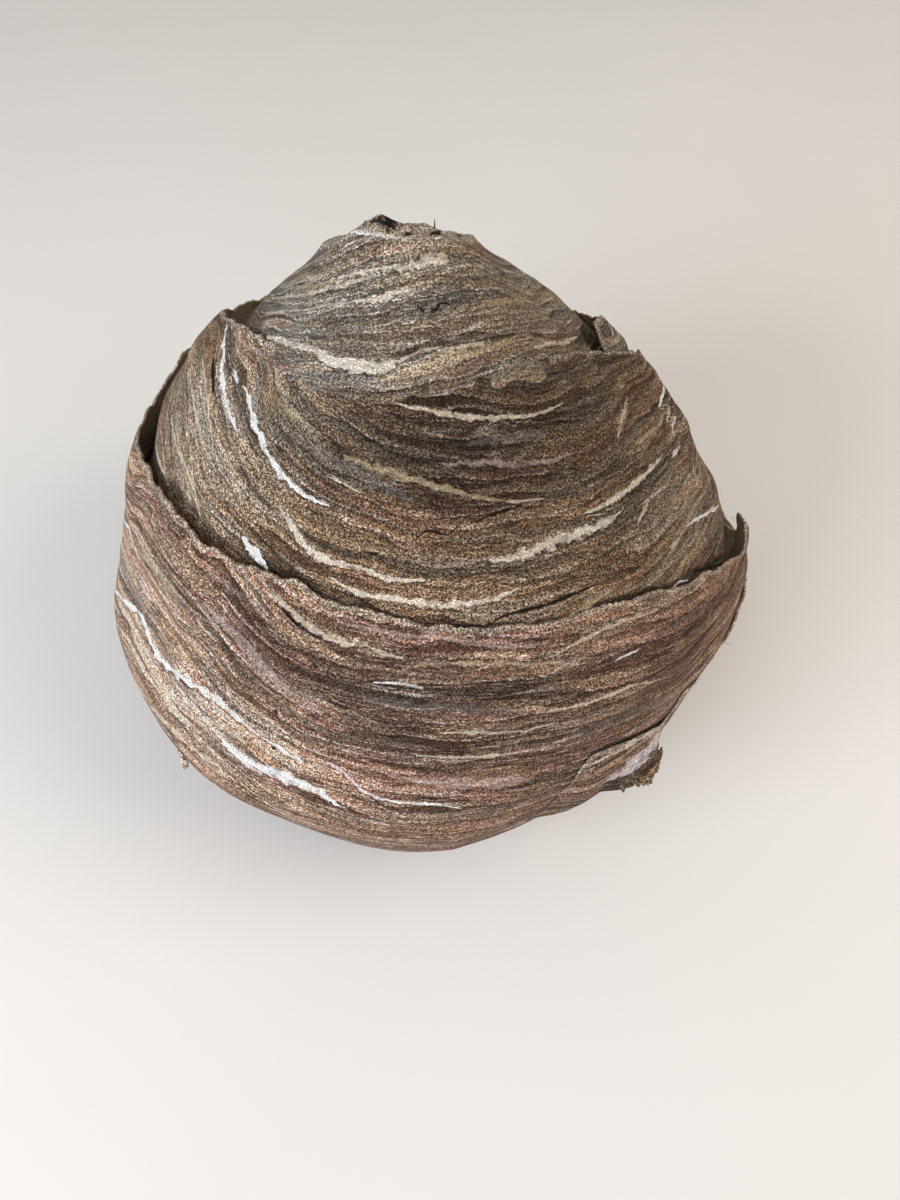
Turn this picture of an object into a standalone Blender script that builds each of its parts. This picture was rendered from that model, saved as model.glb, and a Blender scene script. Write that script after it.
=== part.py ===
"""A common wasp nest, resting on the flat cut of the end that it hung from.

The nest is made of paper sheets, wrapped one over another like the scales of a bud. Each sheet
has a free rim that points up to the entrance, and its foot is tucked under the next sheet out.
Units are metres and +Z is up. The origin is the middle of the flat cut, and the front is -Y.
An angle is in degrees round the nest: 0 is the front, 90 the right side, 180 the back.
"""

import math

import bmesh
import bpy
from mathutils import Vector, noise

MM = 0.001

# Driving dimensions

NEST_HEIGHT = 153 * MM
TIP_SIDE_HEIGHT = 145.5 * MM
TIP_TILT_STARTS = 118 * MM
NEST_LEAN = -2.6 * MM

PAPER_GAP = 0.5 * MM
HIDDEN_GAP = 1.2 * MM
COVER_MARGIN = 28 * MM
COVER_MARGIN_ANGLE = 12
PAPER_THICKNESS = 1.5 * MM
RIM_THICKNESS = 0.8 * MM
RIM_TAPER = 9 * MM

FLAT_SIDE_ANGLES = (5, 90)
FLAT_SIDE_TOP = 78 * MM
FLAT_SIDE_FULL = 42 * MM
FLAT_SIDE_DEPTH = 5.5 * MM

LUMP_HEIGHT = 1.5 * MM
LUMP_LENGTH = 34 * MM
RIDGE_HEIGHT = 0.45 * MM
RIDGE_PITCH = 21 * MM
RIM_RAGGEDNESS = 1.2 * MM

ENTRANCE_RADIUS = 9.2 * MM
ENTRANCE_FLOOR_RADIUS = 7.5 * MM
ENTRANCE_DEPTH = 36 * MM

COLUMN_STEP = 6
FINE_COLUMNS = [(48, 54), (84, 102)]
FINE_STEP = 2

# Rows of the meshes, as shares of the height from foot to rim

CONE_ROWS = [0, 0.3, 0.44, 0.54, 0.63, 0.7, 0.76, 0.82, 0.87, 0.92, 0.96, 1]
ENTRANCE_ROWS = [0, 0.35, 0.7, 1]
LOWER_ROWS = [0, 0.3, 0.55, 0.66, 0.73, 0.83, 0.92, 1]

# Outlines, as (height, radius) or (angle, size) points in millimetres that a smooth curve joins

CONE_OUTLINE = [
    (0, 61), (14, 68.7), (30, 76.4), (44, 81), (54, 80.2), (66, 74), (80, 66), (92, 59.5),
    (102, 51.6), (112, 43.4), (122, 35), (131, 26.5), (138, 19.6), (144, 14.8), (152, 11.8),
]

SHOULDER_RIM = [
    (88, 98), (94, 107), (99, 114), (106, 113.5), (118, 106), (130, 101), (145, 96), (170, 99),
    (200, 101), (228, 95),
]
SHOULDER_OPENING = [
    (88, 0.6), (96, 5), (106, 4.2), (140, 3.2), (185, 4), (228, 0.3),
]
SHOULDER_FOOT = 88 * MM

MIDDLE_RIM = [
    (-122, 108), (-112, 115), (-90, 124.5), (-70, 128), (-50, 131), (-30, 133), (0, 134.5), (35, 133),
    (60, 128.5), (78, 122.5), (94, 115), (104, 105), (109, 104), (116, 95), (132, 86), (150, 83),
    (185, 88), (215, 98),
]
MIDDLE_OPENING = [
    (-122, 3.5), (-100, 3.5), (-75, 1.5), (-55, 0), (0, 0), (60, 0), (80, 0.4), (112, 0.4),
    (150, 3), (200, 3),
]
MIDDLE_FOOT = [(-110, 72), (-50, 80), (10, 78), (60, 64), (86, 40), (110, 50), (170, 60)]

OUTER_RIM = [
    (-113, 96), (-106, 92), (-95, 90), (-80, 95.5), (-60, 100), (-40, 101), (-25, 100.8), (-5, 98),
    (15, 95.5), (35, 91), (47, 87.5), (59, 80.5), (69, 74), (78, 66), (84, 61), (88, 66), (91, 67),
    (95, 53), (99, 60), (106, 57), (120, 54), (150, 64), (190, 76), (225, 86),
]
OUTER_OPENING = [
    (-113, 3.5), (-95, 3.2), (-75, 3.2), (-50, 2.6), (-25, 1.2), (5, 0.3), (40, 0.4), (62, 0.8),
    (76, 2.5), (88, 4.5), (100, 2), (112, 1.5), (150, 2.5), (190, 4), (225, 3),
]

LOWER_RIM = [
    (18, 40), (28, 60), (38, 57), (45, 53), (50, 50), (53, 54), (58, 52), (80, 48), (120, 41),
    (170, 36), (215, 30), (234, 20),
]
LOWER_OPENING = [(18, 0), (30, 0.2), (45, 0.8), (58, 1.6), (120, 3), (180, 2), (234, 0)]

POCKET_DEPTH = 24 * MM

FLAP_ANGLES = (32, 48)
FLAP_TOP = 53 * MM
FLAP_EDGE = 41 * MM
FLAP_UNDERSIDE = 37 * MM
FLAP_REACH = 5.5 * MM

# Colours, as (red, green, blue) values of each paper

GREY_PAPER = (0.17, 0.14, 0.11)
BROWN_PAPER = (0.19, 0.15, 0.12)
PINK_PAPER = (0.23, 0.17, 0.14)
PAPER_ROUGHNESS = 0.9


def clear_scene():
    for old in list(bpy.data.objects):
        bpy.data.objects.remove(old, do_unlink=True)


def blend(low, high, value):
    """Goes smoothly from 0 at low to 1 at high."""
    share = min(max((value - low) / (high - low), 0.0), 1.0)
    return share * share * (3 - 2 * share)


def smooth_curve(points, place):
    """Value at a place on the smooth curve through the points, level past its ends."""
    if place <= points[0][0]:
        return points[0][1]
    if place >= points[-1][0]:
        return points[-1][1]
    after = next(i for i, point in enumerate(points) if point[0] > place)
    (x0, y0), (x1, y1) = points[after - 1], points[after]
    xa, ya = points[max(after - 2, 0)]
    xb, yb = points[min(after + 1, len(points) - 1)]
    span = x1 - x0
    slope0 = (y1 - ya) / (x1 - xa) * span
    slope1 = (yb - y0) / (xb - x0) * span
    t = (place - x0) / span
    rise = y0 * (1 + 2 * t) * (1 - t) ** 2 + y1 * t * t * (3 - 2 * t)
    return rise + slope0 * t * (1 - t) ** 2 - slope1 * t * t * (1 - t)


def round_curve(points, angle):
    """Value at an angle, in metres, on the smooth curve that closes on itself round the nest."""
    first = points[0][0]
    turned = first + (angle - first) % 360
    last_two = [(a - 360, v) for a, v in points[-2:]]
    first_two = [(a + 360, v) for a, v in points[:2]]
    return smooth_curve(last_two + points + first_two, turned) * MM


def patch_curve(points, angle):
    """Value at an angle, in metres, on the curve of a sheet that doesn't go all the way round."""
    return smooth_curve(points, angle) * MM


def column_angles():
    """Angles of the mesh columns, closer together where the rims are most uneven."""
    angles = []
    angle = -180
    while angle < 180:
        angles.append(angle)
        is_fine = any(start <= angle < end for start, end in FINE_COLUMNS)
        angle += FINE_STEP if is_fine else COLUMN_STEP
    return angles


def tip_rise(angle, height):
    """How far the tilt of the tip lifts a level line, which is highest at the front."""
    tilt = (NEST_HEIGHT - TIP_SIDE_HEIGHT) * math.cos(math.radians(angle))
    return tilt * blend(TIP_TILT_STARTS, TIP_SIDE_HEIGHT, height)


def lumps(angle, height):
    """Broad uneven swellings that every sheet follows."""
    turn = math.radians(angle)
    place = Vector((2.4 * math.sin(turn), 2.4 * math.cos(turn), height / LUMP_LENGTH))
    return LUMP_HEIGHT * noise.noise(place)


def ridges(angle, below_rim):
    """Low rounded ridges along the growth lines, which follow the sheet's rim."""
    turn = math.radians(angle)
    wander = 0.3 * math.sin(2 * turn) + 0.15 * math.sin(5 * turn + 1)
    wave = math.cos(2 * math.pi * (below_rim / RIDGE_PITCH + wander))
    return RIDGE_HEIGHT * wave * blend(0, RIM_TAPER, below_rim)


def ragged(angle, seed):
    """How far a torn rim strays from its smooth curve."""
    turn = math.radians(angle)
    return RIM_RAGGEDNESS * noise.noise(Vector((9 * math.sin(turn), 9 * math.cos(turn), seed)))


def flat_side(angle, height):
    """How far the lower right front is pressed in."""
    start, end = FLAT_SIDE_ANGLES
    share = min(max((angle - start) / (end - start), 0), 1)
    return FLAT_SIDE_DEPTH * math.sin(math.pi * share) * blend(FLAT_SIDE_TOP, FLAT_SIDE_FULL, height)


def cone_radius(angle, height):
    """Radius of the innermost envelope's outer face."""
    level = height - tip_rise(angle, height)
    outline = smooth_curve(CONE_OUTLINE, level / MM) * MM
    return outline + lumps(angle, height) - flat_side((angle + 180) % 360 - 180, height)


def point_at(angle, radius, height):
    """Point on the nest, whose middle line leans a little to the left as it rises."""
    turn = math.radians(angle)
    lean = NEST_LEAN * blend(0.25 * NEST_HEIGHT, NEST_HEIGHT, height)
    return Vector((radius * math.sin(turn) + lean, -radius * math.cos(turn), height))


def sheet_thickness(height, rim):
    taper = blend(rim - RIM_TAPER, rim, height)
    return PAPER_THICKNESS + (RIM_THICKNESS - PAPER_THICKNESS) * taper


def stand_off(opening, height, rim):
    """How far a sheet stands away from the one inside it, which is most at its free rim."""
    share = blend(rim - POCKET_DEPTH, rim, height)
    return HIDDEN_GAP + (PAPER_GAP + opening - HIDDEN_GAP) * share


class Sheet:
    """One paper sheet, wrapped over what is inside it.

    The rim and the opening are curves round the nest, and the foot is a height or such a curve.
    """

    def __init__(self, name, inside, rim, opening, foot=0, closed=True):
        self.name = name
        self.inside = inside
        self.curve = round_curve if closed else patch_curve
        self.rim_points = rim
        self.opening_points = opening
        self.foot_points = foot
        self.closed = closed
        self.seed = len(name)

    def rim(self, angle):
        return self.curve(self.rim_points, angle) + ragged(angle, self.seed)

    def foot(self, angle):
        if isinstance(self.foot_points, list):
            return round_curve(self.foot_points, angle)
        return self.foot_points

    def coverage(self, angle, height):
        """1 where the sheet is, falling smoothly to 0 within the margin round it."""
        below = blend(self.foot(angle) - COVER_MARGIN, self.foot(angle), height)
        above = blend(self.rim(angle) + COVER_MARGIN, self.rim(angle), height)
        if self.closed:
            return below * above
        start, end = self.rim_points[0][0], self.rim_points[-1][0]
        before = blend(start - COVER_MARGIN_ANGLE, start, angle % 360)
        after = blend(end + COVER_MARGIN_ANGLE, end, angle % 360)
        return below * above * before * after

    def gap(self, angle, height):
        """Distance from what is inside the sheet to its inner face."""
        opening = max(self.curve(self.opening_points, angle), 0)
        return stand_off(opening, height, self.rim(angle))

    def thickness(self, angle, height):
        rim = self.rim(angle)
        return sheet_thickness(height, rim) + max(ridges(angle, rim - height), 0)

    def inner_radius(self, angle, height):
        return self.inside(angle, height) + self.gap(angle, height)

    def outer_radius(self, angle, height):
        """Radius of the sheet's outer face, which falls to what is inside it past the sheet's edges."""
        build_up = self.gap(angle, height) + self.thickness(angle, height)
        return self.inside(angle, height) + build_up * self.coverage(angle, height)


def flap_reach(angle, height):
    """Torn lip at the right front: it stands out and ends in a ragged lower edge."""
    start, end = FLAP_ANGLES
    across = math.sin(math.pi * min(max((angle - start) / (end - start), 0), 1))
    return FLAP_REACH * across * blend(FLAP_TOP, FLAP_EDGE, height) * blend(FLAP_UNDERSIDE, FLAP_EDGE, height)


def no_reach(angle, height):
    return 0


def make_sheets():
    """The sheets from the inside out, each resting on the last."""
    shoulder = Sheet(
        "shoulder_sheet", cone_radius, SHOULDER_RIM, SHOULDER_OPENING, foot=SHOULDER_FOOT, closed=False
    )
    middle = Sheet("middle_sheet", shoulder.outer_radius, MIDDLE_RIM, MIDDLE_OPENING, foot=MIDDLE_FOOT)
    outer = Sheet("outer_sheet", middle.outer_radius, OUTER_RIM, OUTER_OPENING)
    lower = Sheet("lower_sheet", outer.outer_radius, LOWER_RIM, LOWER_OPENING, closed=False)
    return shoulder, middle, outer, lower


def paper(name, colour):
    material = bpy.data.materials.new(name)
    material.use_nodes = True
    shader = material.node_tree.nodes["Principled BSDF"]
    shader.inputs["Base Color"].default_value = (*colour, 1)
    shader.inputs["Roughness"].default_value = PAPER_ROUGHNESS
    return material


def add_object(name, points, faces, colour):
    mesh = bpy.data.meshes.new(name)
    mesh.from_pydata(points, [], faces)
    shape = bmesh.new()
    shape.from_mesh(mesh)
    bmesh.ops.triangulate(shape, faces=shape.faces)
    bmesh.ops.recalc_face_normals(shape, faces=shape.faces)
    shape.to_mesh(mesh)
    shape.free()
    mesh.shade_smooth()
    mesh.set_sharp_from_angle(angle=math.radians(35))
    mesh.materials.append(paper(name + "_paper", colour))
    made = bpy.data.objects.new(name, mesh)
    bpy.context.collection.objects.link(made)
    return made


def grid_faces(columns, rows, around, along):
    """Quads of a grid of points, which may close on itself around the columns, the rows or both."""
    faces = []
    for column in range(columns if around else columns - 1):
        here = column * rows
        there = (column + 1) % columns * rows
        for row in range(rows if along else rows - 1):
            after = (row + 1) % rows
            faces.append((here + row, here + after, there + after, there + row))
    return faces


def even_rows(count):
    return [row / count for row in range(count + 1)]


def sheet_section(sheet, angle, outer_rows, inner_rows, reach):
    """Points round one upright section of a sheet: up its outer face and down its inner face."""
    foot = sheet.foot(angle)
    tall = sheet.rim(angle) - foot
    points = []
    for share in outer_rows:
        height = foot + tall * share
        points.append(point_at(angle, sheet.outer_radius(angle, height) + reach(angle, height), height))
    for share in reversed(inner_rows):
        height = foot + tall * share
        points.append(point_at(angle, sheet.inner_radius(angle, height), height))
    return points


def add_sheet(sheet, angles, outer_rows, inner_rows, colour, reach=no_reach):
    if not sheet.closed:
        start, end = sheet.rim_points[0][0], sheet.rim_points[-1][0]
        turned = sorted(angle % 360 for angle in angles)
        angles = [start] + [angle for angle in turned if start < angle < end] + [end]
    sections = [sheet_section(sheet, angle, outer_rows, inner_rows, reach) for angle in angles]
    points = [point for section in sections for point in section]
    rows = len(sections[0])
    faces = grid_faces(len(sections), rows, around=sheet.closed, along=True)
    if not sheet.closed:
        faces.append(tuple(range(rows)))
        faces.append(tuple(range(len(points) - rows, len(points))))
    return add_object(sheet.name, points, faces, colour)


def tip_rim(angle):
    """Height of the entrance's rim, which is highest at the front."""
    tilt = (NEST_HEIGHT - TIP_SIDE_HEIGHT) * math.cos(math.radians(angle))
    return TIP_SIDE_HEIGHT + tilt + ragged(angle, 1)


def cone_section(angle):
    """Points of one upright section of the cone: up its outer face and down into its entrance."""
    rim = tip_rim(angle)
    points = [point_at(angle, cone_radius(angle, rim * share), rim * share) for share in CONE_ROWS]
    floor = TIP_SIDE_HEIGHT - ENTRANCE_DEPTH
    for share in ENTRANCE_ROWS:
        radius = ENTRANCE_RADIUS + (ENTRANCE_FLOOR_RADIUS - ENTRANCE_RADIUS) * share
        points.append(point_at(angle, radius, rim + (floor - rim) * share))
    return points


def add_cone(angles):
    """The innermost envelope, with the entrance as a blind hole in its tip."""
    sections = [cone_section(angle) for angle in angles]
    points = [point for section in sections for point in section]
    rows = len(sections[0])
    faces = grid_faces(len(sections), rows, around=True, along=False)
    faces.append(tuple(range(0, len(points), rows)))
    faces.append(tuple(range(rows - 1, len(points), rows)))
    return add_object("entrance_cone", points, faces, GREY_PAPER)


def main():
    clear_scene()
    angles = column_angles()
    shoulder, middle, outer, lower = make_sheets()
    add_cone(angles)
    add_sheet(shoulder, angles, even_rows(5), even_rows(4), GREY_PAPER)
    add_sheet(middle, angles, even_rows(8), even_rows(7), BROWN_PAPER)
    add_sheet(outer, angles, even_rows(13), even_rows(10), PINK_PAPER)
    add_sheet(lower, angles, LOWER_ROWS, even_rows(7), PINK_PAPER, reach=flap_reach)


main()
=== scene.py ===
"""Dresses the solids of a common wasp nest in chewed-wood paper, torn rims and loose fibres.

Shapes are worked out in millimetres and turned to metres when a mesh is made. An angle is in
degrees round the nest: 0 is the front, 90 the right side, 180 the back. Heights start at the
flat cut that the nest rests on.
"""

import math
from typing import NamedTuple

import bpy
import numpy as np
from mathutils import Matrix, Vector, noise


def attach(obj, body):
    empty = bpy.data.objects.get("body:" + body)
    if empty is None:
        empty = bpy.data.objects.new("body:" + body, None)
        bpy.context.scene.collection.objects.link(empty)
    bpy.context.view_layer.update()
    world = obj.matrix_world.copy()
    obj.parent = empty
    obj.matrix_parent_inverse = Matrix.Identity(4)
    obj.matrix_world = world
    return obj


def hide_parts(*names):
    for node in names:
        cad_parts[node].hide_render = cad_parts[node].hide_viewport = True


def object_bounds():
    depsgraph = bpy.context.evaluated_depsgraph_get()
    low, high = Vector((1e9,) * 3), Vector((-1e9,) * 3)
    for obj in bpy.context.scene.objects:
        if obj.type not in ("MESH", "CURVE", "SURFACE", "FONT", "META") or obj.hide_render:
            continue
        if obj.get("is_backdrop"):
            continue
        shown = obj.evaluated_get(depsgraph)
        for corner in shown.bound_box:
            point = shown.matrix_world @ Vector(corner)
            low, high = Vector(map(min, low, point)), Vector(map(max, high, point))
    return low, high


bl_info = {
    "name": "Common wasp nest",
    "version": (1, 0, 0),
    "blender": (4, 5, 0),
    "location": "3D View > Sidebar > Wasp nest",
    "description": "Builds the paper envelope of a common wasp nest over its packed solids",
    "category": "Object",
}

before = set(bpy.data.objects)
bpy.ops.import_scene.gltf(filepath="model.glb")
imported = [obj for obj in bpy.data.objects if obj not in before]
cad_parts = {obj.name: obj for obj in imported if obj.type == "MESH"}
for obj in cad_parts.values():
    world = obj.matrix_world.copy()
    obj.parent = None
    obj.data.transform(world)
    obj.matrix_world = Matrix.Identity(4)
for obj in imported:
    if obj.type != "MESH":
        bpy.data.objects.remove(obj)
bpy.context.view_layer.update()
MM = 0.001

# Mesh

FRONT_ANGLE = 115
BACK_COLUMN_SHARE = 2.4
CONE_COLUMNS = 470
CONE_ROW_SHARE = 0.75
CONE_FINE_FROM = 0.52
CONE_COARSE_SHARE = 6.0
LIP_ROWS = 14
ENTRANCE_ROWS = 21
INNER_FACE_SHARES = np.concatenate([np.linspace(1, 0.9, 7), np.linspace(0.86, 0, 12)])
MARK_REACH = 4.0

# The nest's shape, the same as in its solids

TIP_FRONT = 153.0
TIP_SIDE = 145.5
TIP_TILT_STARTS = 118.0
LEAN = -2.6

PAPER_GAP = 0.5
HIDDEN_GAP = 1.2
COVER_MARGIN = 28.0
COVER_MARGIN_ANGLE = 12.0
PAPER_THICKNESS = 1.5
SOLID_RIM_THICKNESS = 0.8
RIM_TAPER = 9.0
POCKET_DEPTH = 24.0

FLAT_SIDE_ANGLES = (5, 90)
FLAT_SIDE_TOP = 78.0
FLAT_SIDE_FULL = 42.0
FLAT_SIDE_DEPTH = 5.5

LUMP_HEIGHT = 1.5
LUMP_LENGTH = 34.0
RIDGE_HEIGHT = 0.45
RIDGE_PITCH = 21.0
RIM_RAGGEDNESS = 1.2

ENTRANCE_RADIUS = 9.2
ENTRANCE_FLOOR_RADIUS = 7.5
ENTRANCE_DEPTH = 36.0

# The paper's torn and curled edges, which are finer than the solids

STUCK_HEIGHT = 16.0
STUCK_SINK = 0.25
FINE_TOOTH = 0.9
COARSE_TOOTH = 3.1
BITE = 5.0
TEETH_RADIUS = 80.0
TEETH_DEPTH = 4.0
CURL = 0.5
CURL_HEIGHT = 7.0

LIP_ROUGHNESS = 0.35
# Where the lip in front of the entrance is darkened with painted shade: its middle angle, its half width in
# degrees and how far across the lip from the entrance it reaches
LIP_SHADE_ANGLE = -9
LIP_SHADE_DEGREES = 13
LIP_SHADE_SHARE = 0.9
LIP_TEAR = [
    (-130, -1), (-90, -2.2), (-56, -1.3), (-46, -0.4), (-38, 0.4), (-30, 1.1), (-24, 1.7), (-18, 1.7),
    (-11, 1.1), (-4, 0.3), (2, 0), (10, -0.1), (20, -0.1), (29, 0.1), (37, 0), (46, -0.5), (85, -1.2),
    (130, -1),
]

# Outlines, as (height, radius) or (angle, size) points that a smooth curve joins

CONE_OUTLINE = [
    (0, 61), (14, 68.7), (30, 76.4), (44, 81), (54, 80.2), (66, 74), (80, 66), (92, 59.5),
    (102, 51.6), (112, 43.4), (122, 35), (131, 26.5), (138, 19.6), (144, 14.8), (152, 11.8),
]

SHOULDER_RIM = [
    (88, 98), (94, 107), (99, 114), (106, 113.5), (118, 106), (130, 101), (145, 96), (170, 99),
    (200, 101), (228, 95),
]
SHOULDER_OPENING = [(88, 0.6), (96, 5), (106, 4.2), (140, 3.2), (185, 4), (228, 0.3)]
SHOULDER_FOOT = 88

# The shoulder sheet's paper stands higher than its solid where it rises in front of the pocket

SHOULDER_PAPER_RIM = [
    (84, 104), (90, 110), (94, 117), (97, 119.3), (104, 118.4), (112, 113.7), (118, 109.3), (124, 105),
    (130, 101), (145, 96), (170, 99), (200, 101), (228, 95),
]
SHOULDER_PAPER_OPENING = [(84, 0), (90, 1.2), (96, 3.8), (106, 4.2), (140, 3.2), (185, 4), (228, 0.3)]

MIDDLE_RIM = [
    (-122, 108), (-112, 115), (-90, 124.5), (-70, 128), (-50, 131), (-30, 133), (0, 134.5), (35, 133),
    (60, 128.5), (78, 122.5), (94, 115), (104, 105), (109, 104), (116, 95), (132, 86), (150, 83),
    (185, 88), (215, 98),
]
MIDDLE_OPENING = [
    (-122, 3.5), (-100, 3.5), (-75, 1.5), (-55, 0), (0, 0), (60, 0), (80, 0.4), (112, 0.4),
    (150, 3), (200, 3),
]
MIDDLE_FOOT = [(-110, 72), (-50, 80), (10, 78), (60, 64), (86, 40), (110, 50), (170, 60)]

OUTER_RIM = [
    (-113, 96), (-106, 92), (-95, 90), (-80, 95.5), (-60, 100), (-40, 101), (-25, 100.8), (-5, 98),
    (15, 95.5), (35, 91), (47, 87.5), (59, 80.5), (69, 74), (78, 66), (84, 59.5), (86.5, 60),
    (87.8, 61.8), (90, 62.5), (92.2, 61.2), (94, 51.5), (97, 46.5), (104, 47), (112, 49), (125, 53),
    (150, 64), (190, 76), (225, 86),
]
OUTER_OPENING = [
    (-113, 3.5), (-95, 3.2), (-75, 3.2), (-50, 2.6), (-25, 1.2), (5, 0.3), (40, 0.4), (62, 0.8),
    (76, 2.5), (88, 4.5), (100, 2), (112, 1.5), (150, 2.5), (190, 4), (225, 3),
]

LOWER_RIM = [
    (18, 40), (28, 59.5), (38, 56), (45, 51.5), (50, 47), (53, 50), (58, 48.5), (80, 47), (120, 41),
    (170, 36), (215, 30), (234, 20),
]
LOWER_OPENING = [(18, 0), (30, 0.2), (45, 0.3), (58, 0.5), (75, 1.4), (120, 3), (180, 2), (234, 0)]

FLAP_ANGLES = (32, 48)
FLAP_TOP = 53.0
FLAP_EDGE = 41.0
FLAP_UNDERSIDE = 37.0
FLAP_REACH = 4.6

# Swellings of a sheet, as (size, angle, degrees, then the heights where it starts, is full, fades and ends)

MIDDLE_SWELLINGS = [(3.9, -98, 32, 88, 100, 110, 122), (3.2, 90, 13, 58, 68, 73, 83)]
OUTER_SWELLINGS = [(1.6, -104, 24, 72, 88, 100, 120), (2.6, 90, 4, 53, 61, 90, 91)]
OUTER_SIDE_REACH = 1.8

# Where a rim is stuck to the sheet inside it, as (angle, share): 1 is stuck all along

SHOULDER_JOINED = [(88, 0), (150, 0), (228, 1)]
MIDDLE_JOINED = [
    (-122, 0), (-100, 0), (-82, 0.15), (-70, 0.6), (-58, 1), (0, 1), (50, 1), (66, 0.7), (80, 0.1),
    (100, 0), (200, 0),
]
OUTER_JOINED = [
    (-113, 0), (-45, 0.05), (-25, 0.45), (-10, 0.6), (35, 0.5), (52, 0.2), (66, 0), (96, 0), (103, 0.9),
    (160, 0.9), (190, 0.2), (225, 0),
]
LOWER_JOINED = [
    (18, 1), (24, 0.8), (32, 0.45), (42, 0.4), (54, 0.45), (60, 0.3), (70, 0), (200, 0), (234, 1),
]

# How far the growth lines rise or fall round each sheet, as (angle, height)

CONE_GROWTH = [
    (-120, -28), (-100, -21), (-75, -12.5), (-59, -8.5), (-47, -6), (-37, -4), (-26, -2.5), (-11, -0.8),
    (0, 0), (17, 0.5), (35, 0), (49, -1.5), (62, -4), (79, -9), (93, -14), (120, -22), (150, -28),
    (180, -31), (210, -31),
]
MIDDLE_GROWTH = [
    (-122, -12), (-110, -5), (-95, 0), (-77, -2), (-56, -4), (-41, -6.5), (-25, -9), (0, -12),
    (20, -14.5), (35, -17), (50, -20), (60, -22), (76, -26), (90, -30), (106, -34), (130, -40),
    (150, -42), (185, -36), (215, -24),
]
OUTER_GROWTH = [
    (-113, -24), (-95, -17), (-80, -8), (-72, -3), (-62, 0), (-40, 0), (-32, -3), (-22, -7), (-12, -9),
    (0, -10), (12, -11), (25, -14), (40, -19), (50, -24), (60, -29), (80, -36), (100, -42), (130, -43),
    (180, -35), (225, -26),
]
LOWER_GROWTH = [
    (18, -12.4), (30, -15.3), (50, -19), (80, -24), (120, -31), (170, -34), (215, -29), (234, -25.5),
    (300, -20),
]

# Marks in the paper, as (half width, tint, [(angle, height), ...])

WHITE, BONE, LILAC, CREAM, TAN, ROSE, SLATE, UMBER = range(8)

CONE_MARKS = [
    (0.28, BONE, [(-43, 144.5), (-33, 146.1), (-25, 147.3), (-9, 148.7)]),
    (0.6, BONE, [(-13, 148.4), (-1, 148.8), (12, 149), (22, 149.1), (34, 148.4)]),
    (0.42, CREAM, [(-100, 127.6), (-79, 134.4), (-61, 138.9), (-47, 142.2), (-27, 145.8), (-8, 148)]),
    (0.55, TAN, [(-92, 132.8), (-71, 138.1), (-50, 142.6), (-38, 144.8)]),
    (0.52, BONE, [(-25, 143.3), (-17, 144.1), (-2, 145.5), (9, 145.9)]),
    (0.2, CREAM, [(-98, 124.5), (-75, 132.3), (-59, 136.6), (-37, 141.5), (-26, 143), (-11, 144.2)]),
    (0.75, BONE, [
        (-76, 127), (-60, 130.8), (-42, 133.9), (-28, 134.4), (-14, 134.9), (-4, 135.7), (5, 136.9),
    ]),
    (0.6, BONE, [(-36, 133.8), (-22, 133.6), (-10, 134.2), (-1, 135.3)]),
    (0.4, CREAM, [(0, 136.4), (8, 137.1), (18, 137.4)]),
    (0.5, CREAM, [(60, 129.6), (71, 127.1), (79, 124.4), (95, 119)]),
    (0.22, CREAM, [(4, 140.4), (9, 140.7), (15, 140.6)]),
    (0.3, TAN, [(-2, 133.8), (10, 134.7), (22, 135.8), (28, 135.8)]),
    (0.25, UMBER, [(-49, 135), (-32, 137.7), (-4, 139.5), (18, 139.7)]),
    (0.35, CREAM, [(16, 136.6), (23, 136.7), (38, 135.8)]),
    (0.6, TAN, [(22, 134.9), (38, 134.6), (50, 133.6)]),
    (0.5, TAN, [(35, 141), (49, 139.7), (65, 136.9), (83, 132.4)]),
    (0.7, SLATE, [(-60, 133.8), (-42, 136.6), (-24, 138.2)]),
    (0.45, WHITE, [
        (-40, 152.1), (-31, 152.8), (-24, 153.15), (-16, 153.25), (-7, 153.3), (0, 153.25), (5, 153.1),
    ]),
    (0.25, WHITE, [(9, 153.2), (15, 153.1), (24, 152.6), (33, 152)]),
    (0.22, TAN, [(-30, 153.6), (-20, 153.75), (-10, 153.7), (-2, 153.4), (11, 153.25), (27, 152.8)]),
    (0.4, CREAM, [(14, 150), (25, 150), (34, 148.8)]),
    (0.3, CREAM, [(-16, 131.8), (-6, 131.7), (4, 132.2)]),
    (0.5, CREAM, [(120, 122), (140, 117), (165, 114)]),
    (0.4, BONE, [(150, 130), (175, 126), (200, 127)]),
    (0.7, CREAM, [(185, 112), (205, 113), (222, 116)]),
]
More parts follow.
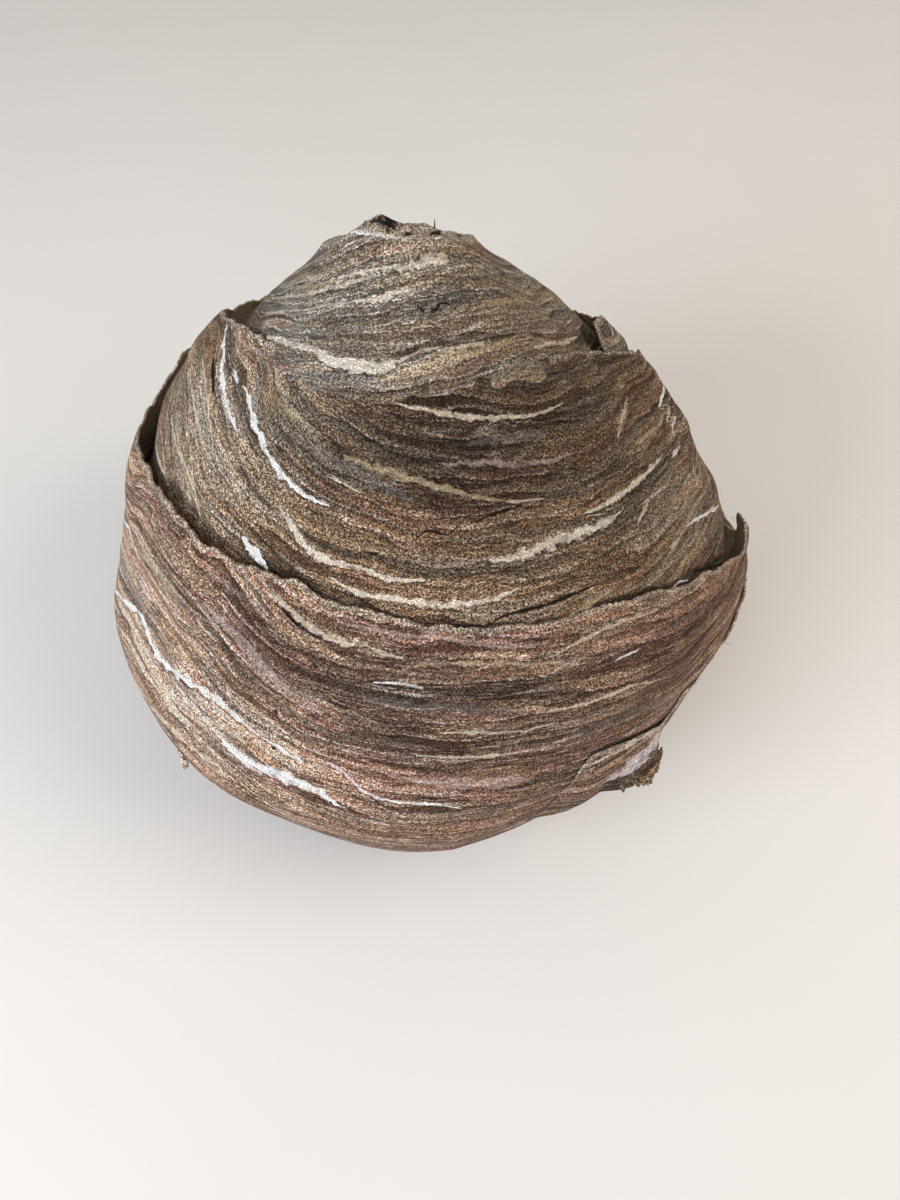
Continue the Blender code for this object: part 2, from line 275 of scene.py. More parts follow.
MIDDLE_MARKS = [
    (0.5, WHITE, [(-97, 120.6), (-86, 119.9), (-77, 118.1), (-66, 116.4), (-55, 116.1)]),
    (0.55, WHITE, [(-66, 120.2), (-52, 119.3), (-42, 117.3), (-35, 115.2), (-27, 113.8), (-19, 113.5)]),
    (0.35, CREAM, [(-92, 111.6), (-81, 111.4), (-66, 109.7), (-58, 109)]),
    (0.3, CREAM, [(-93, 115), (-85, 115.1), (-74, 114), (-65, 112.2), (-57, 109.8)]),
    (0.25, CREAM, [(-83, 106.7), (-74, 105.1), (-67, 103.1)]),
    (0.22, CREAM, [(-67, 106.7), (-60, 104.3), (-55, 102.3)]),
    (0.22, TAN, [(-73, 117.2), (-62, 115.3), (-53, 113.8)]),
    (0.3, WHITE, [(-75, 120.3), (-69, 119.7)]),
    (0.85, WHITE, [(-40, 103), (-37, 102.1), (-31, 100)]),
    (0.7, BONE, [(-33, 110.2), (-29, 108.7), (-23, 106.5), (-15, 105.3), (-9, 104.7)]),
    (0.5, BONE, [(-11, 105.1), (-6, 103.9), (-3, 103.5), (4, 103.6)]),
    (0.6, BONE, [(-17, 102.8), (-10, 100.9), (2, 100.1), (9, 99.5), (17, 99.6), (23, 100)]),
    (0.9, BONE, [(18, 105.4), (28, 104.3), (36, 103.4), (44, 102.1), (54, 100.9)]),
    (0.4, ROSE, [(5, 105.4), (12, 105.8), (19, 105.9)]),
    (0.6, BONE, [(44, 105), (52, 103.6), (61, 101.9), (71, 100.1), (77, 98.4)]),
    (0.6, ROSE, [(10, 120.8), (23, 119.4), (34, 117), (50, 114.4)]),
    (0.65, TAN, [(-18, 121), (-7, 120.2), (2, 119.1), (11, 117.1), (25, 113.4)]),
    (0.25, CREAM, [(25, 113), (31, 111.7), (36, 110.6)]),
    (0.9, SLATE, [(-48, 122.8), (-34, 121.3), (-23, 120.2), (-11, 118.9), (3, 115.9)]),
    (0.45, CREAM, [(-3, 129.6), (11, 127.8), (24, 125.5), (41, 122.8), (58, 120.2)]),
    (0.6, TAN, [(24, 91.4), (30, 91.6), (36, 91.9), (43, 91.9)]),
    (0.6, TAN, [(71, 105.4), (79, 102.9), (87, 100.4)]),
    (0.5, WHITE, [(89, 101.8), (93, 103), (98, 103.4)]),
    (0.4, CREAM, [(87, 98.8), (89, 99.4), (92, 100.4)]),
    (0.4, LILAC, [(86, 96.4), (88, 97.2), (91, 98.2)]),
    (0.5, LILAC, [(79, 95.8), (82, 95.4), (85, 94.6)]),
    (0.35, CREAM, [(81, 85.6), (83, 87.5), (85, 90)]),
    (0.5, WHITE, [(70, 85.6), (75, 82), (80, 78.2), (86, 74)]),
    (0.4, CREAM, [(56, 97), (60, 97.4), (63, 97.7)]),
    (0.5, CREAM, [(61, 87.8), (64, 86.8), (66, 86)]),
    (0.3, WHITE, [(57, 80.4), (60, 79.4), (63, 77)]),
    (0.6, UMBER, [(61, 108.4), (65, 111.1), (70, 111.9), (78, 111.4)]),
    (0.35, CREAM, [(66, 109.4), (71, 110.2), (76, 110.1), (83, 109.7)]),
    (0.4, UMBER, [(69, 108.9), (76, 108.9), (83, 108.4)]),
    (0.5, ROSE, [(-84, 123.6), (-75, 124.9), (-66, 126)]),
    (0.2, CREAM, [(-22, 117.6), (-16, 117.1), (-11, 116.2)]),
    (0.55, TAN, [(-47, 124), (-38, 123.9), (-32, 123.7)]),
    (0.4, UMBER, [(-47, 113), (-43, 111.6), (-38, 110.3), (-35, 109)]),
    (0.5, CREAM, [(-84, 104.3), (-75, 104), (-61, 103.8), (-52, 100.7)]),
    (0.5, CREAM, [(-85, 95.8), (-78, 97), (-71, 98.2)]),
    (0.8, SLATE, [(20, 122.6), (34, 121), (46, 119.2)]),
    (0.8, CREAM, [(130, 72), (150, 68), (172, 72)]),
    (0.7, WHITE, [(180, 78), (200, 84), (215, 90)]),
]
OUTER_MARKS = [
    (0.6, WHITE, [(-81, 75), (-72, 81.7), (-69, 82.1), (-65, 81.2)]),
    (1.0, WHITE, [
        (-76, 57), (-70, 63.2), (-61, 69.5), (-55, 67.5), (-51, 67.2), (-42, 71.1), (-35, 72.1),
        (-26, 68.2),
    ]),
    (1.4, WHITE, [(-35, 63.8), (-31, 61.6), (-28, 60.8), (-22, 60.7), (-16, 59), (-12, 56.8)]),
    (0.6, WHITE, [(-26, 68.3), (-22, 66.8), (-18, 65.4)]),
    (0.5, LILAC, [(-15, 68), (-12, 65.7), (-9, 62), (-5, 60.1)]),
    (0.4, WHITE, [(-6, 60.6), (-2, 60.2), (3, 60.1), (7, 58.4)]),
    (0.65, CREAM, [(-30, 98), (-24, 96.8), (-18, 94.6), (-12, 93.5), (-8, 93.6)]),
    (0.4, CREAM, [(-10, 94.3), (-5, 92.5), (-1, 91.7)]),
    (0.5, CREAM, [(-43, 90), (-40, 88.7), (-37, 87.6)]),
    (0.5, ROSE, [(-13, 96.3), (-4, 95.6), (6, 94.8), (15, 92.3), (25, 89.7)]),
    (0.4, CREAM, [(25, 87.2), (32, 87), (41, 85.8), (51, 81.6)]),
    (0.5, TAN, [(-3, 89.3), (4, 90.4), (16, 88.9), (28, 85)]),
    (0.3, WHITE, [(-7, 87), (-2, 87.1), (2, 86.3)]),
    (0.4, CREAM, [(17, 75), (20, 75.3), (24, 75.1)]),
    (0.45, CREAM, [(22, 69.4), (25, 69.2), (28, 68.7)]),
    (0.45, CREAM, [(0, 72.5), (9, 71.2), (18, 69.8)]),
    (1.3, ROSE, [(-2, 66.2), (8, 64.2), (18, 62)]),
    (0.3, WHITE, [(37, 80.2), (40, 79.5), (43, 78.7)]),
    (0.4, CREAM, [(20, 78.5), (29, 76.5), (37, 74.5), (41, 72.3), (48, 66.4)]),
    (1.1, SLATE, [(25, 69.8), (33, 68.3), (39, 66), (46, 58.6), (53, 49.6)]),
    (1.4, ROSE, [(-42, 91.6), (-35, 89.4), (-28, 85.8), (-21, 81.4)]),
    (0.25, CREAM, [(-28, 83), (-25, 81.4), (-18, 78.2)]),
    (0.7, SLATE, [(-43, 97), (-36, 95.9), (-28, 95)]),
    (1.4, TAN, [(-68, 82.4), (-59, 87.5), (-54, 88), (-46, 85.8)]),
    (0.9, CREAM, [(-57, 51), (-47, 54.3), (-39, 55.1), (-33, 55.2)]),
    (0.8, UMBER, [(-48, 57), (-38, 59.9), (-32, 59.4), (-25, 57.4)]),
    (0.25, CREAM, [(-42, 60), (-37, 60.8), (-33, 61.2)]),
    (0.5, CREAM, [(-43, 86.6), (-40, 85.5), (-37, 84.8)]),
    (1.0, SLATE, [(-10, 84), (4, 82.6), (18, 80)]),
    (0.8, CREAM, [(-40, 63.4), (-34, 66.2), (-29, 65.4)]),
    (0.5, CREAM, [(4, 78), (12, 76.8), (18, 75.4)]),
    (0.8, CREAM, [(120, 44), (140, 48), (160, 56)]),
    (0.6, WHITE, [(170, 50), (190, 56), (215, 62)]),
    (0.7, WHITE, [(196, 68), (212, 74), (226, 78)]),
]
LOWER_MARKS = [
    (0.6, BONE, [(27, 59.1), (38, 55.7), (45, 51.2), (50, 46.7), (53, 49.6), (58, 48.1)]),
    (2.3, LILAC, [(32, 47.4), (34, 47.9), (38, 48.6), (43, 48), (48, 46)]),
    (0.25, TAN, [(34, 53.6), (36, 52.2), (39, 50.8)]),
    (0.6, CREAM, [(70, 40), (90, 36), (112, 30)]),
    (0.7, WHITE, [(130, 28), (150, 25), (170, 24)]),
]

# Cracks and pinholes, in the same form without a tint

CONE_CRACKS = [
    (0.34, [(9, 143.7), (10.6, 143.1), (12, 142.6)]),
    (0.4, [(15.2, 142.6), (17.6, 142.8), (20.4, 143.5)]),
    (0.2, [(20, 143.5), (22.5, 143.4), (25.5, 142.9)]),
]
MIDDLE_CRACKS = [
    (0.45, [(-87, 117.6), (-81, 116.8), (-74, 115.4)]),
    (0.2, [(2, 110), (5, 111.1), (8, 110.6), (10, 110.4), (12, 111.4)]),
    (0.2, [(16, 111.5), (21, 111.8), (30, 111.3)]),
    (0.15, [(29, 110.9), (35, 109.6)]),
    (0.25, [(5, 96.5), (12, 95.9), (15, 95.6), (17, 96.2)]),
    (0.32, [(16, 96.2), (20, 96.6), (29, 95.5), (39, 94.3)]),
    (0.3, [(66, 76), (69, 73.4), (73, 69.4), (80, 62)]),
]
OUTER_CRACKS = [
    (0.25, [(-45, 69.2), (-42, 69.8), (-40, 70.4)]),
    (0.3, [(-26, 97), (-23, 95.5), (-20, 94.5), (-17, 93.6)]),
    (0.18, [(-32, 84.6), (-27, 81.3), (-20, 78.4)]),
    (0.2, [(-30, 53.6), (-25, 51.4)]),
    (0.5, [(-24.4, 75.9), (-23.6, 75.9)]),
    (0.5, [(-24.4, 66.6), (-23.6, 66.6)]),
    (0.4, [(-17.3, 88.6), (-16.7, 88.6)]),
    (0.4, [(59.6, 57.3), (60.4, 57.3)]),
]
LOWER_CRACKS = [(0.4, [(33, 45.4), (34.5, 45.6), (36, 45.2)])]

# Loose fibres of the rims

FIBRE_SEED = 7
FIBRE_LENGTH = 2.2
RIM_FIBRE_SHARE = 0.6
SHEET_END_MARGIN = 8

# Torn scraps on the entrance's lip, as (angle, inward, width, height, lean), and the splinter beside them

TIP_SEED = 3
SCRAP_THICKNESS = 0.35
# The shaded scraps stand in the shade inside the entrance behind the front of the lip, and are darkened as
# painted shade.
SHADED_SCRAPS = [(-17, 1.2, 2.4, 0.6, 0.4), (8, 1.2, 1.2, 0.7, 0.1), (29, 1.0, 2.0, 0.6, 0.3)]
PALE_SCRAPS = [(-25, 0.4, 1.4, 0.8, -0.2), (58, 0.8, 1.4, 0.5, 0)]
SPLINTER_FOOT = (35.0, 11.2, 151.0)
SPLINTER_PATH = [[0, 0, 0], [0.05, 0, 1.0], [0.1, 0, 1.9], [0.0, 0, 2.7]]
SPLINTER_RADII = [0.16, 0.13, 0.1, 0.04]

# The torn fringe under the flap, with its edge as (angle, height), and the loose tag at the lower left

FRINGE_SEED = 5
FRINGE_COUNT = 26
FRINGE_THICKNESS = 0.4
FRINGE_ANGLES = [34.5, 40, 44.5]
FRINGE_EDGE = [(34.5, 46.2), (37, 44.6), (40, 42.8), (43, 42.6), (46, 43.6)]
TAG_ANGLE = -43.0
TAG_HEIGHT = 50.0

# Lighter, darker, redder and greyer areas, as (angle, height, degrees, millimetres, lightness, redness)

CONE_AREAS = [
    (-62, 129, 32, 14, -0.12, 0.05), (0, 143, 40, 12, 0.15, -0.2), (55, 128, 40, 20, -0.2, 0.1),
]
MIDDLE_AREAS = [
    (-70, 108, 32, 24, 0.45, -0.4), (15, 124, 45, 13, -0.42, 0), (62, 115, 30, 12, -0.2, -0.1),
    (-5, 106, 22, 7, 0.12, 0.25), (38, 104, 22, 5, 0.2, 0.1), (75, 90, 15, 12, 0.2, -0.2),
]
OUTER_AREAS = [
    (-62, 62, 24, 22, 0.37, -0.45), (-31, 83, 13, 9, -0.3, 0.5), (-36, 62, 16, 12, 0.42, -0.45),
    (8, 94, 30, 5, -0.05, 0.45), (5, 80, 26, 7, -0.35, -0.1), (8, 64, 22, 6, 0.05, 0.6),
    (45, 70, 22, 12, -0.1, 0.1), (62, 70, 14, 14, -0.15, 0.35), (30, 64, 18, 9, -0.2, 0),
]
LOWER_AREAS = [(38, 54, 12, 7, 0, 0.3), (36, 43, 12, 4, -0.4, -0.4)]

# Colours of the chewed wood, as (red, green, blue)

# The darkest pulp: the colour of dark specks, and also of painted shade in clefts, under marks, in cracks
# and on the lip in front of the entrance.
SPECK_AND_SHADOW_PULP = (0.030, 0.019, 0.012)
DARK_PULP = (0.121, 0.092, 0.070)
GREY_PULP = (0.28, 0.248, 0.22)
TAN_PULP = (0.46, 0.41, 0.35)
PALE_PULP = (0.76, 0.73, 0.69)
RIM_PULP = (0.48, 0.41, 0.32)

# What the single grains do to the paper's colour, from the darkest grain to the palest

GRAIN_SHADE = (0.08, 0.035, 0.012)
GRAIN_LIGHT = (0.92, 0.965, 1.0)
GRAIN_POWER = 2.05
PALEST = (0.95, 0.93, 0.89)
MARK_COLOURS = [
    (0.93, 0.91, 0.87), (0.72, 0.64, 0.53), (0.78, 0.71, 0.75), (0.65, 0.545, 0.42), (0.45, 0.36, 0.22),
    (0.46, 0.35, 0.31), (0.17, 0.16, 0.155), (0.07, 0.047, 0.033),
]
MARK_STRENGTHS = [1.0, 0.95, 0.85, 0.8, 0.65, 0.55, 0.4, 0.6]
RIM_SHADE = 0.75

# The broad bands, the strips and the threads that make the paper's tone, as (length, width, waver)

BAND_SIZES = [(1.6, 2.8, 1.4), (1.0, 1.0, 0.8), (0.35, 0.4, 0.45)]
BAND_HUES = [
    (0.15, (0.60, 0.63, 0.65)),
    (0.36, (0.68, 0.66, 0.62)),
    (0.54, (0.725, 0.66, 0.55)),
    (0.72, (0.78, 0.64, 0.52)),
    (0.9, (0.81, 0.62, 0.57)),
]

# The stage, in metres

FLOOR_HALF_WIDTH = 3.0
FLOOR_DROP = 0.0004
SENSOR_WIDTH_MM = 36.0
LIGHT_TARGET = (0, 0, 0.07)
WINDOW_PLACE = (-0.72, -0.62, 0.42)
WINDOW_SIZE = (0.7, 0.5)
WINDOW_COLOUR = (0.90, 0.965, 1.08)
FILL_PLACE = (0.8, -0.2, 0.7)
FILL_SIZE = (0.7, 0.7)
FILL_COLOUR = (1.0, 0.88, 0.78)
SKY_COLOUR = (1.0, 0.96, 0.9, 1)


class NestShape(bpy.types.PropertyGroup):
    column_width: bpy.props.FloatProperty(
        name="Column width", description="Distance between mesh columns at the belly",
        default=0.0006, min=0.0003, unit="LENGTH",
    )
    row_height: bpy.props.FloatProperty(
        name="Row height", description="Distance between mesh rows",
        default=0.00065, min=0.0003, unit="LENGTH",
    )
    rim_thickness: bpy.props.FloatProperty(
        name="Rim thickness", description="Thickness of the paper at a free rim",
        default=0.0006, unit="LENGTH",
    )
    rim_teeth: bpy.props.FloatProperty(
        name="Rim teeth", description="Height of the torn teeth along a rim",
        default=0.0009, unit="LENGTH",
    )
    relief: bpy.props.FloatProperty(
        name="Band relief", description="How far single bands of pulp stand out",
        default=0.0003, unit="LENGTH",
    )
    fibre_count: bpy.props.IntProperty(
        name="Loose fibres", description="Number of fibres that stand out of the rims",
        default=700, min=0,
    )


class NestPaper(bpy.types.PropertyGroup):
    band_width: bpy.props.FloatProperty(
        name="Band width", description="Width of one load of pulp", default=0.0015, unit="LENGTH",
    )
    band_length: bpy.props.FloatProperty(
        name="Band length", description="Length of one load of pulp", default=0.022, unit="LENGTH",
    )
    grain_size: bpy.props.FloatProperty(
        name="Grain size", description="Size of the single wood grains", default=0.0004, unit="LENGTH",
    )
    dark_colour: bpy.props.FloatVectorProperty(
        name="Dark pulp", description="Colour of the darkest bands",
        subtype="COLOR", default=DARK_PULP, min=0, max=1,
    )
    grey_colour: bpy.props.FloatVectorProperty(
        name="Grey pulp", description="Colour of most bands",
        subtype="COLOR", default=GREY_PULP, min=0, max=1,
    )
    tan_colour: bpy.props.FloatVectorProperty(
        name="Tan pulp", description="Colour of the warm bands",
        subtype="COLOR", default=TAN_PULP, min=0, max=1,
    )
    pale_colour: bpy.props.FloatVectorProperty(
        name="Pale pulp", description="Colour of the pale bands",
        subtype="COLOR", default=PALE_PULP, min=0, max=1,
    )


class NestStage(bpy.types.PropertyGroup):
    camera_place: bpy.props.FloatVectorProperty(
        name="Camera place", description="Where the camera stands", subtype="TRANSLATION",
        default=(0.0067, -0.1611, 0.2416),
    )
    camera_tilt: bpy.props.FloatProperty(
        name="Camera tilt", description="How far the camera is raised from looking straight down",
        subtype="ANGLE", default=math.radians(36.75),
    )
    focal_length: bpy.props.FloatProperty(
        name="Focal length", description="Focal length in millimetres on a 36 mm sensor", default=26.7,
    )
    window_power: bpy.props.FloatProperty(
        name="Window power", description="Power of the soft window light, in watts", default=13.0,
    )
    fill_power: bpy.props.FloatProperty(
        name="Fill power", description="Power of the weak light from the right, in watts", default=7.0,
    )
    sky_strength: bpy.props.FloatProperty(
        name="Sky strength", description="Strength of the even light from all round", default=0.62,
    )
    floor_colour: bpy.props.FloatVectorProperty(
        name="Floor colour", description="Colour of the plain floor", subtype="COLOR",
        default=(0.62, 0.61, 0.59), min=0, max=1,
    )


# Curves and shapes of the nest


def blend(low, high, value):
    """Goes smoothly from 0 at low to 1 at high, whichever of the two is larger."""
    share = np.clip((value - low) / (high - low), 0, 1)
    return share * share * (3 - 2 * share)


def smooth_curve(points, places):
    """Values at the places on the smooth curve through the points, level past its ends."""
    at, value = np.array(points, float).T
    places = np.clip(places, at[0], at[-1])
    after = np.clip(np.searchsorted(at, places, side="right"), 1, len(at) - 1)
    before = after - 1
    earlier = np.maximum(before - 1, 0)
    later = np.minimum(after + 1, len(at) - 1)
    span = at[after] - at[before]
    slope_in = (value[after] - value[earlier]) / (at[after] - at[earlier]) * span
    slope_out = (value[later] - value[before]) / (at[later] - at[before]) * span
    t = (places - at[before]) / span
    level = value[before] * (1 + 2 * t) * (1 - t) ** 2 + value[after] * t * t * (3 - 2 * t)
    return level + slope_in * t * (1 - t) ** 2 - slope_out * t * t * (1 - t)


def round_curve(points, angle):
    """Values on the smooth curve that closes on itself round the nest."""
    first = points[0][0]
    last_two = [(a - 360, v) for a, v in points[-2:]]
    first_two = [(a + 360, v) for a, v in points[:2]]
    return smooth_curve(last_two + points + first_two, first + (angle - first) % 360)


def patch_curve(points, angle):
    """Values on the curve of a sheet that doesn't go all the way round."""
    return smooth_curve(points, angle % 360)


def rough(x, y, z):
    """Smooth random values between about -1 and 1 at each place."""
    x, y, z = np.broadcast_arrays(x, y, z)
    places = np.stack([x.ravel(), y.ravel(), z.ravel()], axis=1).tolist()
    return np.array([noise.noise(place) for place in places]).reshape(x.shape)


def tip_tilt(angle):
    return (TIP_FRONT - TIP_SIDE) * np.cos(np.radians(angle))


def lumps(angle, height):
    """Broad uneven swellings that every sheet follows."""
    turn = np.radians(angle)
    return LUMP_HEIGHT * rough(2.4 * np.sin(turn), 2.4 * np.cos(turn), height / LUMP_LENGTH)


def ridges(angle, below_rim):
    """Low rounded ridges along the growth lines."""
    turn = np.radians(angle)
    wander = 0.3 * np.sin(2 * turn) + 0.15 * np.sin(5 * turn + 1)
    wave = np.cos(2 * np.pi * (below_rim / RIDGE_PITCH + wander))
    return RIDGE_HEIGHT * wave * blend(0, RIM_TAPER, below_rim)


def ragged(angle, seed):
    """How far a torn rim strays from its smooth curve."""
    turn = np.radians(angle)
    return RIM_RAGGEDNESS * rough(9 * np.sin(turn), 9 * np.cos(turn), seed)


def teeth(angle, radius, seed):
    """Small torn teeth along a rim: many short ones and a few deeper bites."""
    turn = np.radians(angle)
    x, y = radius * np.sin(turn), radius * np.cos(turn)
    fine = rough(x / FINE_TOOTH, y / FINE_TOOTH, seed + 5.3)
    coarse = rough(x / COARSE_TOOTH, y / COARSE_TOOTH, seed + 9.1)
    bites = blend(0.28, 0.6, rough(x / BITE, y / BITE, seed + 2.7))
    return 0.5 * fine + 0.8 * coarse - 1.2 * bites


def cone_radius(angle, height):
    """Radius of the innermost envelope's outer face."""
    level = height - tip_tilt(angle) * blend(TIP_TILT_STARTS, TIP_SIDE, height)
    start, end = FLAT_SIDE_ANGLES
    share = np.clip(((angle + 180) % 360 - 180 - start) / (end - start), 0, 1)
    flat = FLAT_SIDE_DEPTH * np.sin(np.pi * share) * blend(FLAT_SIDE_TOP, FLAT_SIDE_FULL, height)
    return smooth_curve(CONE_OUTLINE, level) + lumps(angle, height) - flat


def point_at(angle, radius, height):
    """Points on the nest, whose middle line leans a little to the left as it rises."""
    turn = np.radians(angle)
    lean = LEAN * blend(0.25 * TIP_FRONT, TIP_FRONT, height)
    return np.stack([radius * np.sin(turn) + lean, -radius * np.cos(turn), height], axis=-1)


def flap_reach(angle, height):
    """How far the torn lip at the right front stands out."""
    start, end = FLAP_ANGLES
    across = np.sin(np.pi * np.clip((angle % 360 - start) / (end - start), 0, 1))
    below_top = blend(FLAP_TOP, FLAP_EDGE, height)
    above_underside = blend(FLAP_UNDERSIDE, FLAP_EDGE, height)
    return FLAP_REACH * across * below_top * above_underside


def swelling(angle, height, swellings):
    """How far a sheet swells out, softly round the middle of each swelling."""
    reach = 0
    for size, middle, degrees, low, full, fading, gone in swellings:
        turned = (angle - middle + 180) % 360 - 180
        share = np.exp(-(turned / degrees) ** 2) * blend(low, full, height) * blend(gone, fading, height)
        reach = reach + size * share
    return reach


def middle_bulge(angle, height):
    """Where the middle sheet swells out behind the open left rim of the outer one, and at the right."""
    return swelling(angle, height, MIDDLE_SWELLINGS)


def outer_bulge(angle, height):
    """Where the outer sheet stands out: its left rim, its tongue and its side above the lower sheet."""
    turned = angle % 360
    side = OUTER_SIDE_REACH * blend(52, 62, turned) * blend(125, 105, turned)
    return swelling(angle, height, OUTER_SWELLINGS) + side * blend(30, 44, height) * blend(60, 46, height)


class Sheet:
    """One paper sheet, wrapped over what is inside it."""

    def __init__(self, inside, rim, opening, joined, seed, foot=0, closed=True, merged=0):
        self.inside = inside
        self.rim_points = rim
        self.opening_points = opening
        self.joined_points = joined
        self.foot_points = foot
        self.seed = seed
        self.closed = closed
        self.merged = merged
        self.curve = round_curve if closed else patch_curve

    def span(self):
        """The angles between which the sheet goes round the nest."""
        if self.closed:
            return -180, 180
        return self.rim_points[0][0], self.rim_points[-1][0]

    def rim(self, angle):
        return self.curve(self.rim_points, angle) + ragged(angle, self.seed)

    def foot(self, angle):
        if isinstance(self.foot_points, list):
            return round_curve(self.foot_points, angle)
        return self.foot_points + 0 * angle

    def joined(self, angle):
        return np.clip(self.curve(self.joined_points, angle), 0, 1)

    def side_edges(self, angle):
        """1 at side edges that run into the sheet inside, falling to 0 over the merged angle."""
        if not self.merged:
            return 0 * angle
        turned = angle % 360
        start, end = self.span()
        at_start = blend(start + self.merged, start, turned)
        at_end = blend(end - self.merged, end, turned)
        return np.maximum(at_start, at_end)

    def coverage(self, angle, height):
        """1 where the sheet is, falling smoothly to 0 within the margin round it."""
        foot, rim = self.foot(angle), self.rim(angle)
        cover = blend(foot - COVER_MARGIN, foot, height) * blend(rim + COVER_MARGIN, rim, height)
        if self.closed:
            return cover
        start, end = self.span()
        turned = angle % 360
        cover = cover * blend(start - COVER_MARGIN_ANGLE, start, turned)
        return cover * blend(end + COVER_MARGIN_ANGLE, end, turned)

    def gap(self, angle, height):
        rim = self.rim(angle)
        opening = np.maximum(self.curve(self.opening_points, angle), 0)
        share = blend(rim - POCKET_DEPTH, rim, height)
        return HIDDEN_GAP + (PAPER_GAP + opening - HIDDEN_GAP) * share

    def thickness(self, angle, height):
        rim = self.rim(angle)
        taper = blend(rim - RIM_TAPER, rim, height)
        plain = PAPER_THICKNESS + (SOLID_RIM_THICKNESS - PAPER_THICKNESS) * taper
        return plain + np.maximum(ridges(angle, rim - height), 0)

    def outer_radius(self, angle, height):
        """Radius of the solid's outer face, which falls to what is inside it past the sheet's edges."""
        build_up = self.gap(angle, height) + self.thickness(angle, height)
        return self.inside(angle, height) + build_up * self.coverage(angle, height)


SHOULDER = Sheet(
    cone_radius, SHOULDER_RIM, SHOULDER_OPENING, SHOULDER_JOINED, seed=14, foot=SHOULDER_FOOT,
    closed=False,
)
SHOULDER_PAPER = Sheet(
    cone_radius, SHOULDER_PAPER_RIM, SHOULDER_PAPER_OPENING, SHOULDER_JOINED, seed=14, foot=SHOULDER_FOOT,
    closed=False,
)
MIDDLE = Sheet(
    SHOULDER.outer_radius, MIDDLE_RIM, MIDDLE_OPENING, MIDDLE_JOINED, seed=12, foot=MIDDLE_FOOT,
)
OUTER = Sheet(MIDDLE.outer_radius, OUTER_RIM, OUTER_OPENING, OUTER_JOINED, seed=11)
LOWER = Sheet(
    OUTER.outer_radius, LOWER_RIM, LOWER_OPENING, LOWER_JOINED, seed=11, closed=False, merged=11,
)


# Marks, growth lines and relief at each place of a sheet


def nearest_mark(angle, height, radius, marks):
    """Distance up from the nearest mark in half widths, that mark's colour, and how strongly it shows."""
    turned = (angle + 180) % 360 - 180
    nearest = np.full(angle.shape, np.inf)
    colour = np.zeros(angle.shape + (3,))
    strength = np.zeros(angle.shape)
    for number, (half_width, tint, points) in enumerate(marks):
        start, end = points[0][0], points[-1][0]
        here = np.where(turned < start, turned + 360, turned) if end > 180 else turned
        share = (here - start) / (end - start)
        uneven = 1 + 0.35 * np.sin(1.3 * here + 7 * number) * np.sin(0.45 * here + number)
        half = half_width * uneven * np.sin(np.pi * np.clip(share, 0.001, 0.999)) ** 0.4
        rise = (smooth_curve(points, here + 0.5) - smooth_curve(points, here - 0.5)) / np.radians(radius)
        away = (height - smooth_curve(points, here)) / (half * np.sqrt(1 + rise ** 2))
        past = np.maximum(np.maximum(start - here, here - end), 0) * np.radians(radius) / half_width
        away = away + np.copysign(past, away)
        reach = max(0.65, 1.7 * half_width)
        shown = MARK_STRENGTHS[tint] * (1 - blend(reach, reach + 0.5, np.abs(away) * half_width))
        closer = np.abs(away) < np.abs(nearest)
        nearest = np.where(closer, away, nearest)
        colour[closer] = MARK_COLOURS[tint]
        strength = np.where(closer, shown, strength)
    return np.clip(nearest, -MARK_REACH, MARK_REACH), colour, strength


def area_tone(angle, height, areas):
    """How much lighter and redder the paper is at each place."""
    tone = np.zeros(angle.shape + (3,))
    for middle, level, degrees, tall, lightness, redness in areas:
        turned = (angle - middle + 180) % 360 - 180
        share = np.exp(-0.5 * ((turned / degrees) ** 2 + ((height - level) / tall) ** 2))
        tone += share[..., None] * np.array([lightness, redness, 0])
    return tone


def growth_place(points, angle, growth_points):
    """Points shifted up or down so that each growth line lies level, in millimetres."""
    shifted = points.copy()
    shifted[..., 2] -= round_curve(growth_points, angle)
    return shifted


def band_relief(growth):
    """Unevenness of the bands of pulp, between about -1 and 1."""
    x, y, z = growth[..., 0], growth[..., 1], growth[..., 2]
    broad = rough(x / 16, y / 16, z / 3.6)
    fine = rough(x / 7 + 40, y / 7, z / 1.5)
    return 0.65 * broad + 0.35 * fine


def grid_faces(columns, rows, around, along):
    """Quads of a grid of points, which may close on itself around the columns, the rows or both."""
    column = np.arange(columns if around else columns - 1)[:, None]
    row = np.arange(rows if along else rows - 1)[None, :]
    here = column * rows
    there = (column + 1) % columns * rows
    after = (row + 1) % rows
    quads = [here + row, here + after, there + after, there + row]
    return np.stack(np.broadcast_arrays(*quads), axis=-1).reshape(-1, 4).tolist()


def column_angles(shape, radius, start, end):
    """Angles of the mesh columns, closer together at the front than at the back."""
    every = np.linspace(start, end, 2000)
    fine = np.abs(every) < FRONT_ANGLE
    spacing = shape.column_width / MM * np.where(fine, 1.0, BACK_COLUMN_SHARE)
    passed = np.concatenate([[0], np.cumsum(np.diff(every) * np.radians(radius) / spacing[1:])])
    closed = end - start >= 360
    return np.interp(np.linspace(0, passed[-1], round(passed[-1]), endpoint=not closed), passed, every)


def row_shares(height, spacing, finer_from, coarse=3.0):
    """Shares of a height, spaced widely up to the share finer_from and closely above it."""
    coarse_rows = max(2, round(height * finer_from / (spacing * coarse)))
    fine_rows = round(height * (1 - finer_from) / spacing)
    below = np.linspace(0, finer_from, coarse_rows, endpoint=False)
    return np.concatenate([below, np.linspace(finer_from, 1, fine_rows)])


